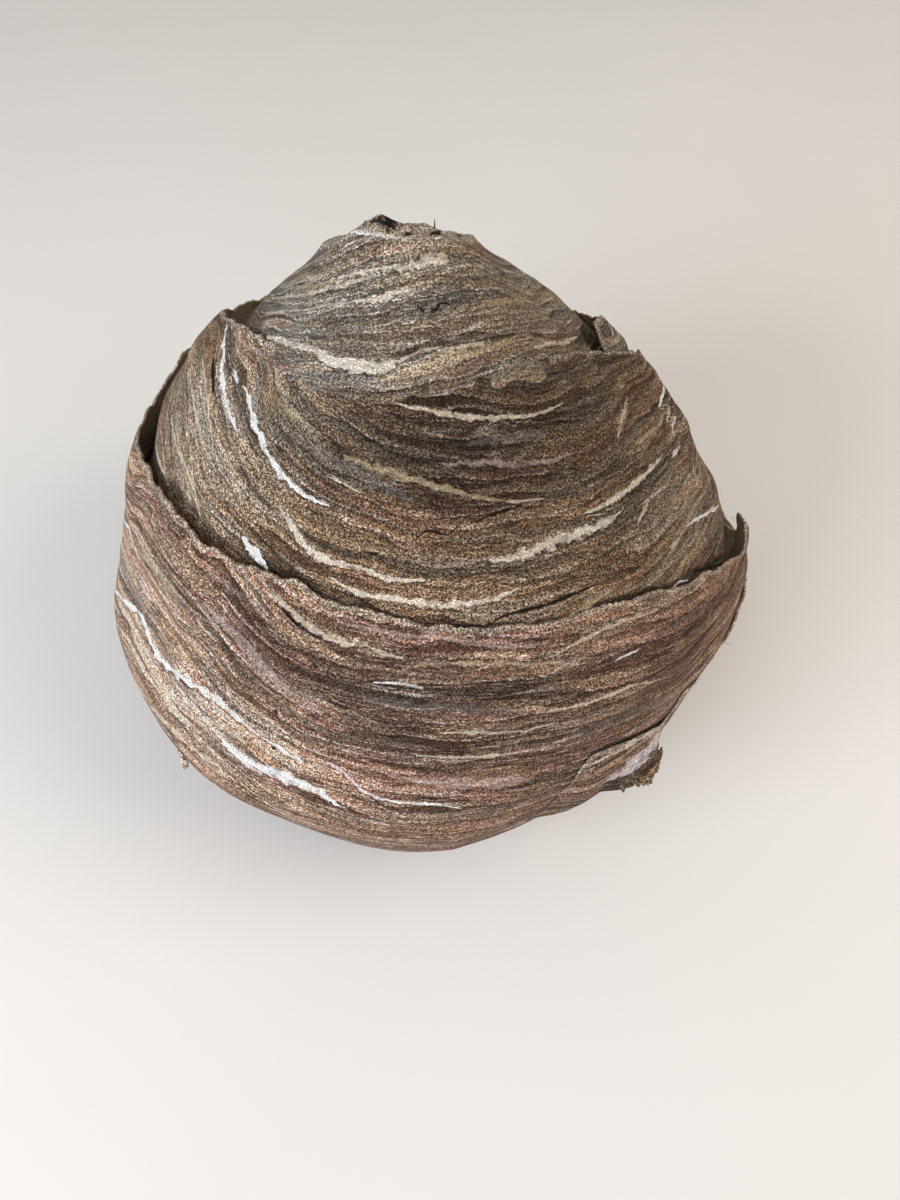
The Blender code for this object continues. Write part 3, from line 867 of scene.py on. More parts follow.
def add_piece(name, node_name, points, faces, material, values):
    """Makes a mesh in the place of a node, with the values that its material reads at each point."""
    mesh = bpy.data.meshes.new(name)
    mesh.from_pydata((points.reshape(-1, 3) * MM).tolist(), [], faces)
    for value_name, numbers in values.items():
        attribute = mesh.attributes.new(value_name, "FLOAT_VECTOR", "POINT")
        attribute.data.foreach_set("vector", np.ascontiguousarray(numbers, np.float32).ravel())
    mesh.validate()
    mesh.shade_smooth()
    mesh.materials.append(material)
    piece = bpy.data.objects.new(name, mesh)
    bpy.context.collection.objects.link(piece)
    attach(piece, "root")
    if node_name:
        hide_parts(node_name)
    return piece


class Markings(NamedTuple):
    """What is drawn on one sheet: how its lines run, its marks, its cracks and its darker areas."""

    growth: list
    marks: list
    cracks: list
    areas: list


CONE_MARKINGS = Markings(CONE_GROWTH, CONE_MARKS, CONE_CRACKS, CONE_AREAS)
MIDDLE_MARKINGS = Markings(MIDDLE_GROWTH, MIDDLE_MARKS, MIDDLE_CRACKS, MIDDLE_AREAS)
OUTER_MARKINGS = Markings(OUTER_GROWTH, OUTER_MARKS, OUTER_CRACKS, OUTER_AREAS)
LOWER_MARKINGS = Markings(LOWER_GROWTH, LOWER_MARKS, LOWER_CRACKS, LOWER_AREAS)


def rim_shadow(angle, height, over):
    """1 just above the rim of the sheet that lies over this one, where that rim casts painted shade."""
    if over is None:
        return 0 * angle
    above = height - over.rim(angle)
    shade_here = blend(1.2, 0.1, above) * blend(-1.5, -0.5, above)
    if over.closed:
        return shade_here
    start, end = over.span()
    return shade_here * (angle % 360 > start) * (angle % 360 < end)


def paper_values(points, angle, height, below_rim, markings, over=None):
    """What the paper's material reads: the growth lines, the marks and how near the rim is."""
    radius = np.hypot(points[..., 0], points[..., 1])
    mark, mark_colour, mark_strength = nearest_mark(angle, height, radius, markings.marks)
    white_cracks = [(half_width, WHITE, line) for half_width, line in markings.cracks]
    crack_and_lip_shade, _, crack_and_lip_shade_strength = nearest_mark(angle, height, radius, white_cracks)
    tone = area_tone(angle, height, markings.areas)
    # Painted shade just above the rim of the sheet over this one, taken off the lightness.
    tone[..., 0] -= RIM_SHADE * rim_shadow(angle, height, over)
    return {
        "growth": growth_place(points, angle, markings.growth),
        "tone": tone,
        "mark_colour": mark_colour,
        "mark": np.stack([mark, mark_strength, 0 * mark], axis=-1),
        "crack_and_lip_shade": np.stack([crack_and_lip_shade, crack_and_lip_shade_strength, 0 * crack_and_lip_shade], axis=-1),
        "below_rim": np.stack([below_rim, below_rim, below_rim], axis=-1),
    }


def sheet_faces_radii(sheet, shape, angle, height, rim):
    """Radii of the outer and the inner face of a sheet as it looks, which thins out where it is stuck."""
    inside = sheet.inside(angle, height)
    solid = inside + sheet.gap(angle, height) + sheet.thickness(angle, height)
    stuck = sheet.joined(angle) * blend(rim - STUCK_HEIGHT, rim - 0.5, height)
    stuck = np.maximum(stuck, sheet.side_edges(angle))
    outer = inside + (solid - inside) * (1 - stuck) - STUCK_SINK * stuck
    thin = blend(rim - RIM_TAPER, rim, height)
    thickness = PAPER_THICKNESS + (shape.rim_thickness / MM - PAPER_THICKNESS) * thin
    return outer, np.minimum(outer - thickness, outer)


def add_sheet(
    shape, name, node_name, sheet, markings, material, radius, finer_from=0.0, reach=None, over=None,
):
    """A whole sheet: up its outer face, over its torn rim and down its inner face."""
    angles = column_angles(shape, radius, *sheet.span())
    tall = float(np.max(sheet.rim(angles) - sheet.foot(angles)))
    up = row_shares(tall, shape.row_height / MM, finer_from)
    shares = np.concatenate([up, INNER_FACE_SHARES])
    angle, share = np.meshgrid(angles, shares, indexing="ij")
    is_outer = np.arange(len(shares))[None, :] < len(up)
    rim, foot = sheet.rim(angle), sheet.foot(angle)
    torn = shape.rim_teeth / MM * teeth(angle, TEETH_RADIUS, sheet.seed) * (1 - 0.6 * sheet.joined(angle))
    level = foot + (rim - foot) * share
    outer, inner = sheet_faces_radii(sheet, shape, angle, level, rim)
    height = level + torn * blend(rim - TEETH_DEPTH, rim, level)
    if reach:
        outer = outer + reach(angle, level)
        inner = inner + reach(angle, level)
    smooth_points = point_at(angle, outer, height)
    growth = growth_place(smooth_points, angle, markings.growth)
    near_rim = blend(0, 2.5, rim - level)
    uneven = shape.relief / MM * band_relief(growth) * (0.35 + 0.65 * near_rim)
    turn = np.radians(angle)
    curl = CURL * rough(np.sin(turn) * 14, np.cos(turn) * 14, sheet.seed + 3.0)
    curl = curl * blend(rim - CURL_HEIGHT, rim, level) * (1 - sheet.joined(angle))
    radius = np.where(is_outer, outer + uneven, inner) + curl
    points = point_at(angle, radius, height)
    faces = grid_faces(len(angles), len(shares), around=sheet.closed, along=True)
    below_rim = np.where(is_outer, rim - level, -1.0 - (rim - level))
    values = paper_values(points, angle, height, below_rim, markings, over)
    return add_piece(name, node_name, points, faces, material, values)


def cone_rim(angle):
    """Height of the cone's lip, which falls off at its left and right."""
    turn = np.radians(angle)
    uneven = LIP_ROUGHNESS * rough(2.6 * np.sin(turn), 2.6 * np.cos(turn), 1.5)
    uneven = uneven + 0.12 * rough(12 * np.sin(turn), 12 * np.cos(turn), 2.5)
    return TIP_SIDE + tip_tilt(angle) + uneven + smooth_curve(LIP_TEAR, (angle + 180) % 360 - 180)


def cone_wall(shape, angle, share):
    """The cone's outer face, from the flat cut up to the torn lip."""
    height = cone_rim(angle) * share
    smooth_points = point_at(angle, cone_radius(angle, height), height)
    relief = shape.relief / MM * band_relief(growth_place(smooth_points, angle, CONE_GROWTH))
    radius = cone_radius(angle, height) + relief * blend(1, 0.97, share)
    return radius, height


def cone_lip(angle, across):
    """The rounded lip of thick paper, from the outer face in to the entrance."""
    rim = cone_rim(angle)
    outer = cone_radius(angle, rim)
    height = rim + 0.25 * np.sin(np.pi * across)
    return outer + (ENTRANCE_RADIUS - outer) * across, height


def entrance_wall(angle, depth):
    """The uneven wall of the entrance, from the lip down to its floor."""
    turn = np.radians(angle)
    rim = cone_rim(angle)
    uneven = 0.4 * rough(3 * np.sin(turn), 3 * np.cos(turn), 9 * depth) * np.sin(np.pi * depth)
    radius = ENTRANCE_RADIUS + (ENTRANCE_FLOOR_RADIUS - ENTRANCE_RADIUS) * depth + uneven
    return radius, rim + (TIP_SIDE - ENTRANCE_DEPTH - rim) * depth


def mark_lip(values, angle, across, rows):
    """Leave the lip without marks, and darken it in front of the entrance with painted shade, which stands
    for the shaded inside of the entrance seen past the torn lip.
    """
    values["mark"][:, rows, 1] = 0
    sideways = (angle[:, rows] - LIP_SHADE_ANGLE) / LIP_SHADE_DEGREES
    values["crack_and_lip_shade"][:, rows, 0] = np.hypot(sideways, (1 - across) / LIP_SHADE_SHARE)
    values["crack_and_lip_shade"][:, rows, 1] = 1


def add_cone(shape, material):
    """The cone with its torn lip, its entrance and the flat cut at the bottom."""
    angles = np.linspace(-180, 180, CONE_COLUMNS, endpoint=False)
    up = row_shares(TIP_SIDE, CONE_ROW_SHARE * shape.row_height / MM, CONE_FINE_FROM, CONE_COARSE_SHARE)
    across = np.linspace(0, 1, LIP_ROWS + 1)[1:]
    down = np.linspace(0, 1, ENTRANCE_ROWS + 1)[1:]
    walls = [
        cone_wall(shape, *np.meshgrid(angles, up, indexing="ij")),
        cone_lip(*np.meshgrid(angles, across, indexing="ij")),
        entrance_wall(*np.meshgrid(angles, down, indexing="ij")),
    ]
    radius, height = (np.concatenate(part, axis=1) for part in zip(*walls))
    rows = radius.shape[1]
    angle = np.broadcast_to(angles[:, None], radius.shape)
    points = point_at(angle, radius, height)
    faces = grid_faces(len(angles), rows, around=True, along=False)
    faces.append(list(range(0, len(angles) * rows, rows)))
    faces.append(list(range(rows - 1, len(angles) * rows, rows))[::-1])
    row_below_rim = np.concatenate([0 * up, 0 * across - 0.2, -1.0 - down * ENTRANCE_DEPTH])
    below_rim = np.where(np.arange(rows) < len(up), cone_rim(angle) - height, row_below_rim)
    values = paper_values(points, angle, height, below_rim, CONE_MARKINGS)
    mark_lip(values, angle, across, slice(len(up), len(up) + len(across)))
    return add_piece("cone_paper", "entrance_cone", points, faces, material, values)


# Loose fibres and torn bits


def tube(points, radii, sides=4):
    """Points and faces of a thin tapering tube along a path."""
    path = np.array(points, float)
    along = np.gradient(path, axis=0)
    along /= np.linalg.norm(along, axis=1)[:, None]
    reference = np.array([0.3, 0.2, 1.0]) if abs(along[0][2]) < 0.8 else np.array([1.0, 0.2, 0.1])
    side = np.cross(along, reference)
    side /= np.linalg.norm(side, axis=1)[:, None]
    other = np.cross(along, side)
    turns = np.linspace(0, 2 * np.pi, sides, endpoint=False)
    ring = np.cos(turns)[None, :, None] * side[:, None] + np.sin(turns)[None, :, None] * other[:, None]
    made = path[:, None] + np.array(radii)[:, None, None] * ring
    faces = []
    for step in range(len(path) - 1):
        for corner in range(sides):
            beside = (corner + 1) % sides
            here, there = step * sides, (step + 1) * sides
            faces.append([here + corner, here + beside, there + beside, there + corner])
    faces.append(list(range(sides))[::-1])
    faces.append([(len(path) - 1) * sides + corner for corner in range(sides)])
    return made.reshape(-1, 3), faces


def join_shapes(shapes):
    """One list of points and faces out of many."""
    points, faces, start = [], [], 0
    for some_points, some_faces in shapes:
        points.append(some_points)
        faces.extend([[start + corner for corner in face] for face in some_faces])
        start += len(some_points)
    return np.concatenate(points), faces


def outward(angle):
    """Unit vectors out of the nest and round it at an angle."""
    turn = math.radians(angle)
    out = np.array([math.sin(turn), -math.cos(turn), 0.0])
    around = np.array([math.cos(turn), math.sin(turn), 0.0])
    return out, around


def loose_fibres(random, sheet, angles, count):
    """Short bent fibres that stand out of a sheet's rim and outer face."""
    shapes = []
    for _ in range(count):
        angle = random.uniform(*angles)
        rim = sheet.rim(angle)
        at_rim = random.random() < RIM_FIBRE_SHARE
        below = abs(random.normal(0, 1.2)) if at_rim else random.uniform(2, 45)
        height = np.maximum(rim - below, sheet.foot(angle) + 2)
        outer = sheet.outer_radius(angle, height) - 0.5
        start = point_at(angle, outer, height)
        out, around = outward(angle)
        length = random.uniform(0.35, 1.0) * FIBRE_LENGTH
        heading = 0.5 * out * random.uniform(0.4, 1) + random.normal(0, 0.6) * around
        heading = heading + np.array([0, 0, random.normal(0.25, 0.5)])
        heading /= np.linalg.norm(heading)
        bend = random.normal(0, 0.35, 3)
        steps = np.linspace(0, 1, 5)[:, None]
        path = start + length * (steps * heading + steps ** 2 * bend)
        thick = random.uniform(0.035, 0.07)
        shapes.append(tube(path, [thick, thick, 0.85 * thick, 0.65 * thick, 0.3 * thick], sides=3))
    return shapes


def shred(random, start, along, across, thick):
    """A torn scrap of paper: a small sheet with ragged ends, bent along its length."""
    along, across = np.array(along, float), np.array(across, float)
    normal = np.cross(along, across)
    normal /= np.linalg.norm(normal)
    rows, columns = 9, 7
    s, t = np.meshgrid(np.linspace(0, 1, rows), np.linspace(-0.5, 0.5, columns), indexing="ij")
    belly = np.sin(np.pi * np.clip(s * 0.8 + 0.15, 0, 1))
    width = 0.75 + 0.25 * belly + 0.1 * random.normal(0, 1, (rows, 1))
    ends = 0.09 * random.normal(0, 1, columns)[None, :] * s
    place = np.array(start, float) + (s + ends)[..., None] * along + (t * width)[..., None] * across
    bend = 0.25 * np.linalg.norm(along) * (s ** 2) * random.uniform(-1, 1)
    wave = 0.12 * np.linalg.norm(across) * np.sin(4 * t + 3 * s)
    place = place + (bend + wave)[..., None] * normal
    front = place + 0.5 * thick * normal
    back = place - 0.5 * thick * normal
    points = np.concatenate([front.reshape(-1, 3), back.reshape(-1, 3)])
    size = rows * columns
    faces = []
    for row in range(rows - 1):
        for column in range(columns - 1):
            here = row * columns + column
            quad = [here, here + 1, here + columns + 1, here + columns]
            faces.append(quad)
            faces.append([size + corner for corner in reversed(quad)])
    loop = [*range(columns), *(row * columns + columns - 1 for row in range(1, rows))]
    loop += [*range(size - 2, size - columns - 1, -1), *(row * columns for row in range(rows - 2, 0, -1))]
    for step, here in enumerate(loop):
        there = loop[(step + 1) % len(loop)]
        faces.append([here, size + here, size + there, there])
    return points, faces


def add_bits(name, shapes, material, lightness=0.0):
    """Fibres and scraps as one piece of plain paper."""
    points, faces = join_shapes(shapes)
    far = np.full(len(points), MARK_REACH)
    unmarked = np.stack([far, 0 * far, 0 * far], axis=-1)
    values = {
        "growth": points,
        "tone": np.broadcast_to([lightness, 0.0, 0.0], points.shape),
        "mark_colour": 0 * points,
        "mark": unmarked,
        "crack_and_lip_shade": unmarked,
        "below_rim": np.full(points.shape, 2.0),
    }
    return add_piece(name, None, points, faces, material, values)


def rim_scraps(random, scraps):
    """Torn scraps that stand on the entrance's lip."""
    shapes = []
    for angle, inward, width, tall, lean in scraps:
        out, around = outward(angle)
        rim = cone_rim(angle)
        start = point_at(angle, cone_radius(angle, rim) - inward, rim - 0.5)
        along = np.array([0, 0, tall + 0.5]) - lean * out
        shapes.append(shred(random, start, along, width * around, SCRAP_THICKNESS))
    return shapes


def torn_fringe(random, count):
    """Scraps that hang from the torn edge of the flap at the lower right."""
    shapes = []
    for number in range(count):
        angle = np.interp(number / (count - 1), [0, 0.6, 1], FRINGE_ANGLES)
        height = np.interp(angle, *zip(*FRINGE_EDGE)) + random.normal(0, 0.5)
        out, around = outward(angle)
        radius = LOWER.outer_radius(angle, height) + flap_reach(angle, height)
        start = point_at(angle, radius - 0.5, height)
        along = out * random.uniform(0.4, 1.2) + around * random.uniform(-0.3, 0.9)
        along = along - np.array([0, 0, 1.0])
        along = along / np.linalg.norm(along) * random.uniform(1.0, 3.0)
        across = around * random.uniform(1.8, 3.6) + out * random.normal(0, 0.8)
        shapes.append(shred(random, start, along, across, FRINGE_THICKNESS))
    return shapes


# Materials


class NodeBench:
    """Adds nodes to a node tree and joins them up, laid out from left to right."""

    def __init__(self, tree):
        self.tree = tree

    def add(self, kind, sources=(), **settings):
        """A new node with its settings, its sockets fed from other nodes or set to plain values."""
        node = self.tree.nodes.new("ShaderNode" + kind)
        node.location = (190 * (len(self.tree.nodes) % 12), -260 * (len(self.tree.nodes) // 12))
        for name, value in settings.items():
            setattr(node, name, value)
        for socket, source in dict(sources).items():
            self.feed(node.inputs[socket], source)
        return node

    def feed(self, socket, source):
        if isinstance(source, bpy.types.NodeSocket):
            self.tree.links.new(source, socket)
        else:
            socket.default_value = source

    def math(self, operation, first, second=0.0, third=0.0):
        node = self.add("Math", {0: first, 1: second, 2: third}, operation=operation)
        return node.outputs[0]

    def stretch(self, place, factors):
        node = self.add("VectorMath", {0: place, 1: factors}, operation="MULTIPLY")
        return node.outputs[0]

    def shift(self, place, offset):
        node = self.add("VectorMath", {0: place, 1: offset}, operation="ADD")
        return node.outputs[0]

    def noise(self, place, detail=2.0, roughness=0.55):
        sources = {"Vector": place, "Scale": 1.0, "Detail": detail, "Roughness": roughness}
        return self.add("TexNoise", sources).outputs["Fac"]

    def remap(self, value, low, high, to_low=0.0, to_high=1.0, smooth=True):
        sources = {"Value": value, "From Min": low, "From Max": high, "To Min": to_low, "To Max": to_high}
        kind = "SMOOTHSTEP" if smooth else "LINEAR"
        return self.add("MapRange", sources, interpolation_type=kind).outputs["Result"]

    def between(self, share, low, high):
        """A value that goes evenly from low to high as the share goes from 0 to 1."""
        return self.remap(share, 0.0, 1.0, low, high, smooth=False)

    def sway(self, wave, strength, size):
        """A wave between 0 and 1, moved to go both up and down."""
        middled = self.math("SUBTRACT", wave, 0.5)
        return self.math("MULTIPLY", middled, self.math("MULTIPLY", strength, size))

    def mix(self, share, first, second, blend_type="MIX"):
        node = self.add("Mix", data_type="RGBA", blend_type=blend_type)
        self.feed(node.inputs["Factor"], share)
        for socket, source in ((node.inputs[6], first), (node.inputs[7], second)):
            self.feed(socket, source if isinstance(source, bpy.types.NodeSocket) else (*source, 1))
        return node.outputs[2]

    def grey(self, value):
        return self.add("CombineColor", {0: value, 1: value, 2: value}).outputs[0]

    def tinted(self, colour, by):
        return self.mix(1.0, colour, by, "MULTIPLY")

    def covered(self, colour, mask, share, cover):
        """A colour with another one over it, where the mask shows it."""
        return self.mix(self.math("MULTIPLY", mask, share), colour, cover)

    def ramp(self, value, stops):
        """The colour at a value, which goes evenly from stop to stop."""
        node = self.add("ValToRGB", {"Fac": value})
        node.color_ramp.interpolation = "LINEAR"
        elements = node.color_ramp.elements
        while len(elements) < len(stops):
            elements.new(1)
        for element, (place, colour) in zip(elements, stops):
            element.position = place
            element.color = (*colour, 1)
        return node.outputs["Color"]

    def split(self, name):
        """The three parts of a vector that each point of the mesh carries."""
        vector = self.add("Attribute", attribute_name=name).outputs["Vector"]
        return self.add("SeparateXYZ", {0: vector}).outputs

    def group(self, tree, sources):
        return self.add("Group", sources, node_tree=tree).outputs


def new_group(name, inputs, outputs):
    """An empty node group with named sockets, its bench, what it is given and what it puts out."""
    tree = bpy.data.node_groups.new(name, "ShaderNodeTree")
    for socket, kind in inputs.items():
        tree.interface.new_socket(socket, in_out="INPUT", socket_type="NodeSocket" + kind)
    for socket, kind in outputs.items():
        tree.interface.new_socket(socket, in_out="OUTPUT", socket_type="NodeSocket" + kind)
    bench = NodeBench(tree)
    given = tree.nodes.new("NodeGroupInput").outputs
    wanted = tree.nodes.new("NodeGroupOutput").inputs
    return tree, bench, given, wanted


def pulp_band_group():
    """Each load of pulp as a long ragged band with its own tone, a thick lower edge and a cleft."""
    tree, bench, given, wanted = new_group(
        "Pulp bands",
        {"Growth": "Vector", "Length": "Float", "Width": "Float", "Waver": "Float"},
        {"Tone": "Float", "Hue": "Float", "Crest": "Float", "Cleft": "Float"},
    )
    place = given["Growth"]
    wander = bench.noise(bench.stretch(place, (0.07, 0.07, 0.11)), detail=1.0)
    fray = bench.noise(bench.stretch(place, (1.0, 1.0, 0.9)), detail=4.0, roughness=0.7)
    slow = bench.sway(wander, given["Waver"], 4.5)
    quick = bench.sway(fray, given["Waver"], 1.6)
    parts = bench.add("SeparateXYZ", {0: place}).outputs
    level = bench.math("ADD", bench.math("ADD", parts[2], slow), quick)
    scaled = bench.add(
        "CombineXYZ",
        {
            0: bench.math("DIVIDE", parts[0], given["Length"]),
            1: bench.math("DIVIDE", parts[1], given["Length"]),
            2: bench.math("DIVIDE", level, given["Width"]),
        },
    ).outputs[0]
    spread = {"Vector": scaled, "Scale": 1.0, "Randomness": 1.0}
    cells = bench.add("TexVoronoi", spread, feature="F1")
    colour = bench.add("SeparateColor", {0: cells.outputs["Color"]}).outputs
    offset = bench.add("VectorMath", {0: scaled, 1: cells.outputs["Position"]}, operation="SUBTRACT")
    above_middle = bench.add("SeparateXYZ", {0: offset.outputs[0]}).outputs[2]
    seams = bench.add("TexVoronoi", spread, feature="DISTANCE_TO_EDGE")
    low_side = bench.remap(above_middle, -0.45, 0.05, 1.0, 0.0)
    near_seam = bench.remap(seams.outputs["Distance"], 0.02, 0.16, 1.0, 0.0)
    bench.feed(wanted["Tone"], colour[0])
    bench.feed(wanted["Hue"], colour[1])
    some = bench.remap(colour[2], 0.2, 0.95, 0.15, 1.5)
    crest = bench.math("MULTIPLY", low_side, near_seam)
    bench.feed(wanted["Crest"], bench.math("MULTIPLY", crest, some))
    bench.feed(wanted["Cleft"], bench.math("MULTIPLY", bench.remap(above_middle, 0.05, 0.4), near_seam))
    return tree


def wood_grain_group():
    """The single wood fibres: fine lines along the growth, round grains and dark specks."""
    tree, bench, given, wanted = new_group(
        "Wood grain",
        {"Growth": "Vector", "Size": "Float"},
        {"Lines": "Float", "Grain": "Float", "Specks": "Float"},
    )
    per_grain = bench.math("DIVIDE", 1.0, given["Size"])
    grains = bench.add("VectorMath", {0: given["Growth"], 3: per_grain}, operation="SCALE").outputs[0]
    lines = bench.noise(bench.stretch(grains, (0.14, 0.14, 0.55)), detail=3.0, roughness=0.65)
    coarse = bench.noise(bench.stretch(grains, (0.9, 0.9, 1.1)), detail=1.0, roughness=0.8)
    grain = bench.noise(bench.stretch(grains, (1.7, 1.7, 1.9)), detail=1.0, roughness=0.8)
    elsewhere = bench.shift(bench.stretch(grains, (0.55, 0.55, 0.75)), (31.0, 7.0, 3.0))
    speck = bench.noise(elsewhere, detail=1.0)
    spread = bench.math("MULTIPLY_ADD", coarse, 0.55, bench.math("MULTIPLY", grain, 0.45))
    bench.feed(wanted["Lines"], bench.remap(lines, 0.32, 0.68, smooth=False))
    bench.feed(wanted["Grain"], bench.remap(spread, 0.44, 0.57, smooth=False))
    bench.feed(wanted["Specks"], bench.remap(speck, 0.67, 0.74))
    return tree


def torn_mark_group():
    """A mark with frayed edges and the shadow along its lower edge, from the distance in half widths."""
    tree, bench, given, wanted = new_group(
        "Torn mark",
        {"Away": "Float", "Strength": "Float", "Growth": "Vector", "Fray": "Float"},
        {"Mask": "Float", "Shadow under": "Float"},
    )
    coarse = bench.noise(bench.stretch(given["Growth"], (0.4, 0.4, 0.7)), detail=2.0)
    fine = bench.noise(bench.stretch(given["Growth"], (1.3, 1.3, 1.7)), detail=3.0, roughness=0.65)
    elsewhere = bench.shift(bench.stretch(given["Growth"], (0.3, 0.3, 0.5)), (9.0, 4.0, 1.0))
    patchy = bench.noise(elsewhere, detail=3.0)
    coarse = bench.sway(coarse, given["Fray"], 2.6)
    fine = bench.sway(fine, given["Fray"], 1.8)
    moved = bench.math("ADD", bench.math("ADD", given["Away"], coarse), fine)
    inside = bench.remap(bench.math("ABSOLUTE", moved), 0.45, 1.1, 1.0, 0.0)
    # A painted shadow along the mark's lower edge.
    below = bench.remap(bench.math("ABSOLUTE", bench.math("ADD", moved, 1.35)), 0.1, 0.45, 1.0, 0.0)
    shown = bench.math("MULTIPLY", given["Strength"], bench.remap(patchy, 0.36, 0.5, 0.55, 1.0))
    bench.feed(wanted["Mask"], bench.math("MULTIPLY", inside, shown))
    bench.feed(wanted["Shadow under"], bench.math("MULTIPLY", below, shown))
    return tree


class PaperLook(NamedTuple):
    """How one sheet's paper differs from the others."""

    tint: tuple
    contrast: float
    grain_share: float
    pale_share: float
    rose_share: float
    # The colour laid over the inner face: painted shade that deepens down the entrance, and painted light
    # in the sheets' pockets for the glow through the thin paper.
    inside: tuple
    inside_from: float
    inside_share: float


CONE_LOOK = PaperLook(
    tint=(0.90, 0.865, 0.80), contrast=0.82, grain_share=0.78, pale_share=0.1, rose_share=-0.2,
    inside=(0.05, 0.035, 0.022), inside_from=-11.0, inside_share=0.9,
)
SHOULDER_LOOK = CONE_LOOK._replace(inside=(1.0, 0.78, 0.54), inside_from=-1.6)
MIDDLE_LOOK = PaperLook(
    tint=(0.655, 0.555, 0.45), contrast=0.95, grain_share=0.95, pale_share=0.1, rose_share=0.0,
    inside=(1.0, 0.80, 0.58), inside_from=-1.6, inside_share=0.9,
)
OUTER_LOOK = PaperLook(
    tint=(0.975, 0.81, 0.72), contrast=1.25, grain_share=0.92, pale_share=0.25, rose_share=0.6,
    inside=(1.0, 0.76, 0.56), inside_from=-1.6, inside_share=0.85,
)
LOOKS = {"cone": CONE_LOOK, "shoulder": SHOULDER_LOOK, "middle": MIDDLE_LOOK, "outer": OUTER_LOOK}


def shade(colour, brightness):
    return tuple(min(part * brightness, 1.0) for part in colour)


def bands_colour(bench, paper, look, growth, bands, fibres):
    """Colour of the plain paper, and the relief of its bands."""
    length, width = paper.band_length / MM, paper.band_width / MM
    lightness, redness, _ = bench.split("tone")
    broad, strips, threads = (
        bench.group(bands, {
            "Growth": growth, "Length": long * length, "Width": wide * width, "Waver": waver,
        })
        for long, wide, waver in BAND_SIZES
    )
    tone = bench.math("MULTIPLY_ADD", strips["Tone"], 0.48, 0.0)
    tone = bench.math("MULTIPLY_ADD", broad["Tone"], 0.28, tone)
    tone = bench.math("MULTIPLY_ADD", threads["Tone"], 0.26, tone)
    tone = bench.math("MULTIPLY_ADD", bench.math("SUBTRACT", fibres["Lines"], 0.5), 0.12, tone)
    tone = bench.math("MULTIPLY_ADD", bench.math("SUBTRACT", tone, 0.5), look.contrast, 0.5)
    tone = bench.math("MULTIPLY_ADD", lightness, 0.3, tone)
    colour = bench.ramp(tone, [
        (0.14, paper.dark_colour), (0.42, paper.grey_colour), (0.66, paper.tan_colour),
        (0.95 - 0.25 * look.pale_share, paper.pale_colour),
    ])
    hue = bench.math("MULTIPLY_ADD", broad["Hue"], 0.5, bench.math("MULTIPLY", strips["Hue"], 0.5))
    hue = bench.math("ADD", hue, 0.2 * look.rose_share)
    hue = bench.math("ADD", hue, bench.math("MULTIPLY", redness, 0.3))
    colour = bench.tinted(colour, bench.ramp(hue, BAND_HUES))
    colour = bench.covered(colour, strips["Crest"], 0.5, paper.pale_colour)
    colour = bench.covered(colour, threads["Crest"], 0.3, paper.pale_colour)
    # Painted shade in each cleft, just under the thick lower edge of the band above it.
    colour = bench.covered(colour, strips["Cleft"], 0.65, SPECK_AND_SHADOW_PULP)
    colour = bench.covered(colour, threads["Cleft"], 0.35, SPECK_AND_SHADOW_PULP)
    strip_edge = bench.math("SUBTRACT", strips["Crest"], strips["Cleft"])
    thread_edge = bench.math("SUBTRACT", threads["Crest"], threads["Cleft"])
    relief = bench.math("MULTIPLY", strip_edge, 0.3)
    relief = bench.math("MULTIPLY_ADD", thread_edge, 0.14, relief)
    relief = bench.math("MULTIPLY_ADD", strips["Tone"], 0.14, relief)
    # The lightness carries the areas' tone and the painted shade above the rim of the sheet over this one.
    lift = bench.math("MULTIPLY_ADD", lightness, 0.9, 1.0)
    return bench.tinted(bench.tinted(colour, look.tint), bench.grey(lift)), relief


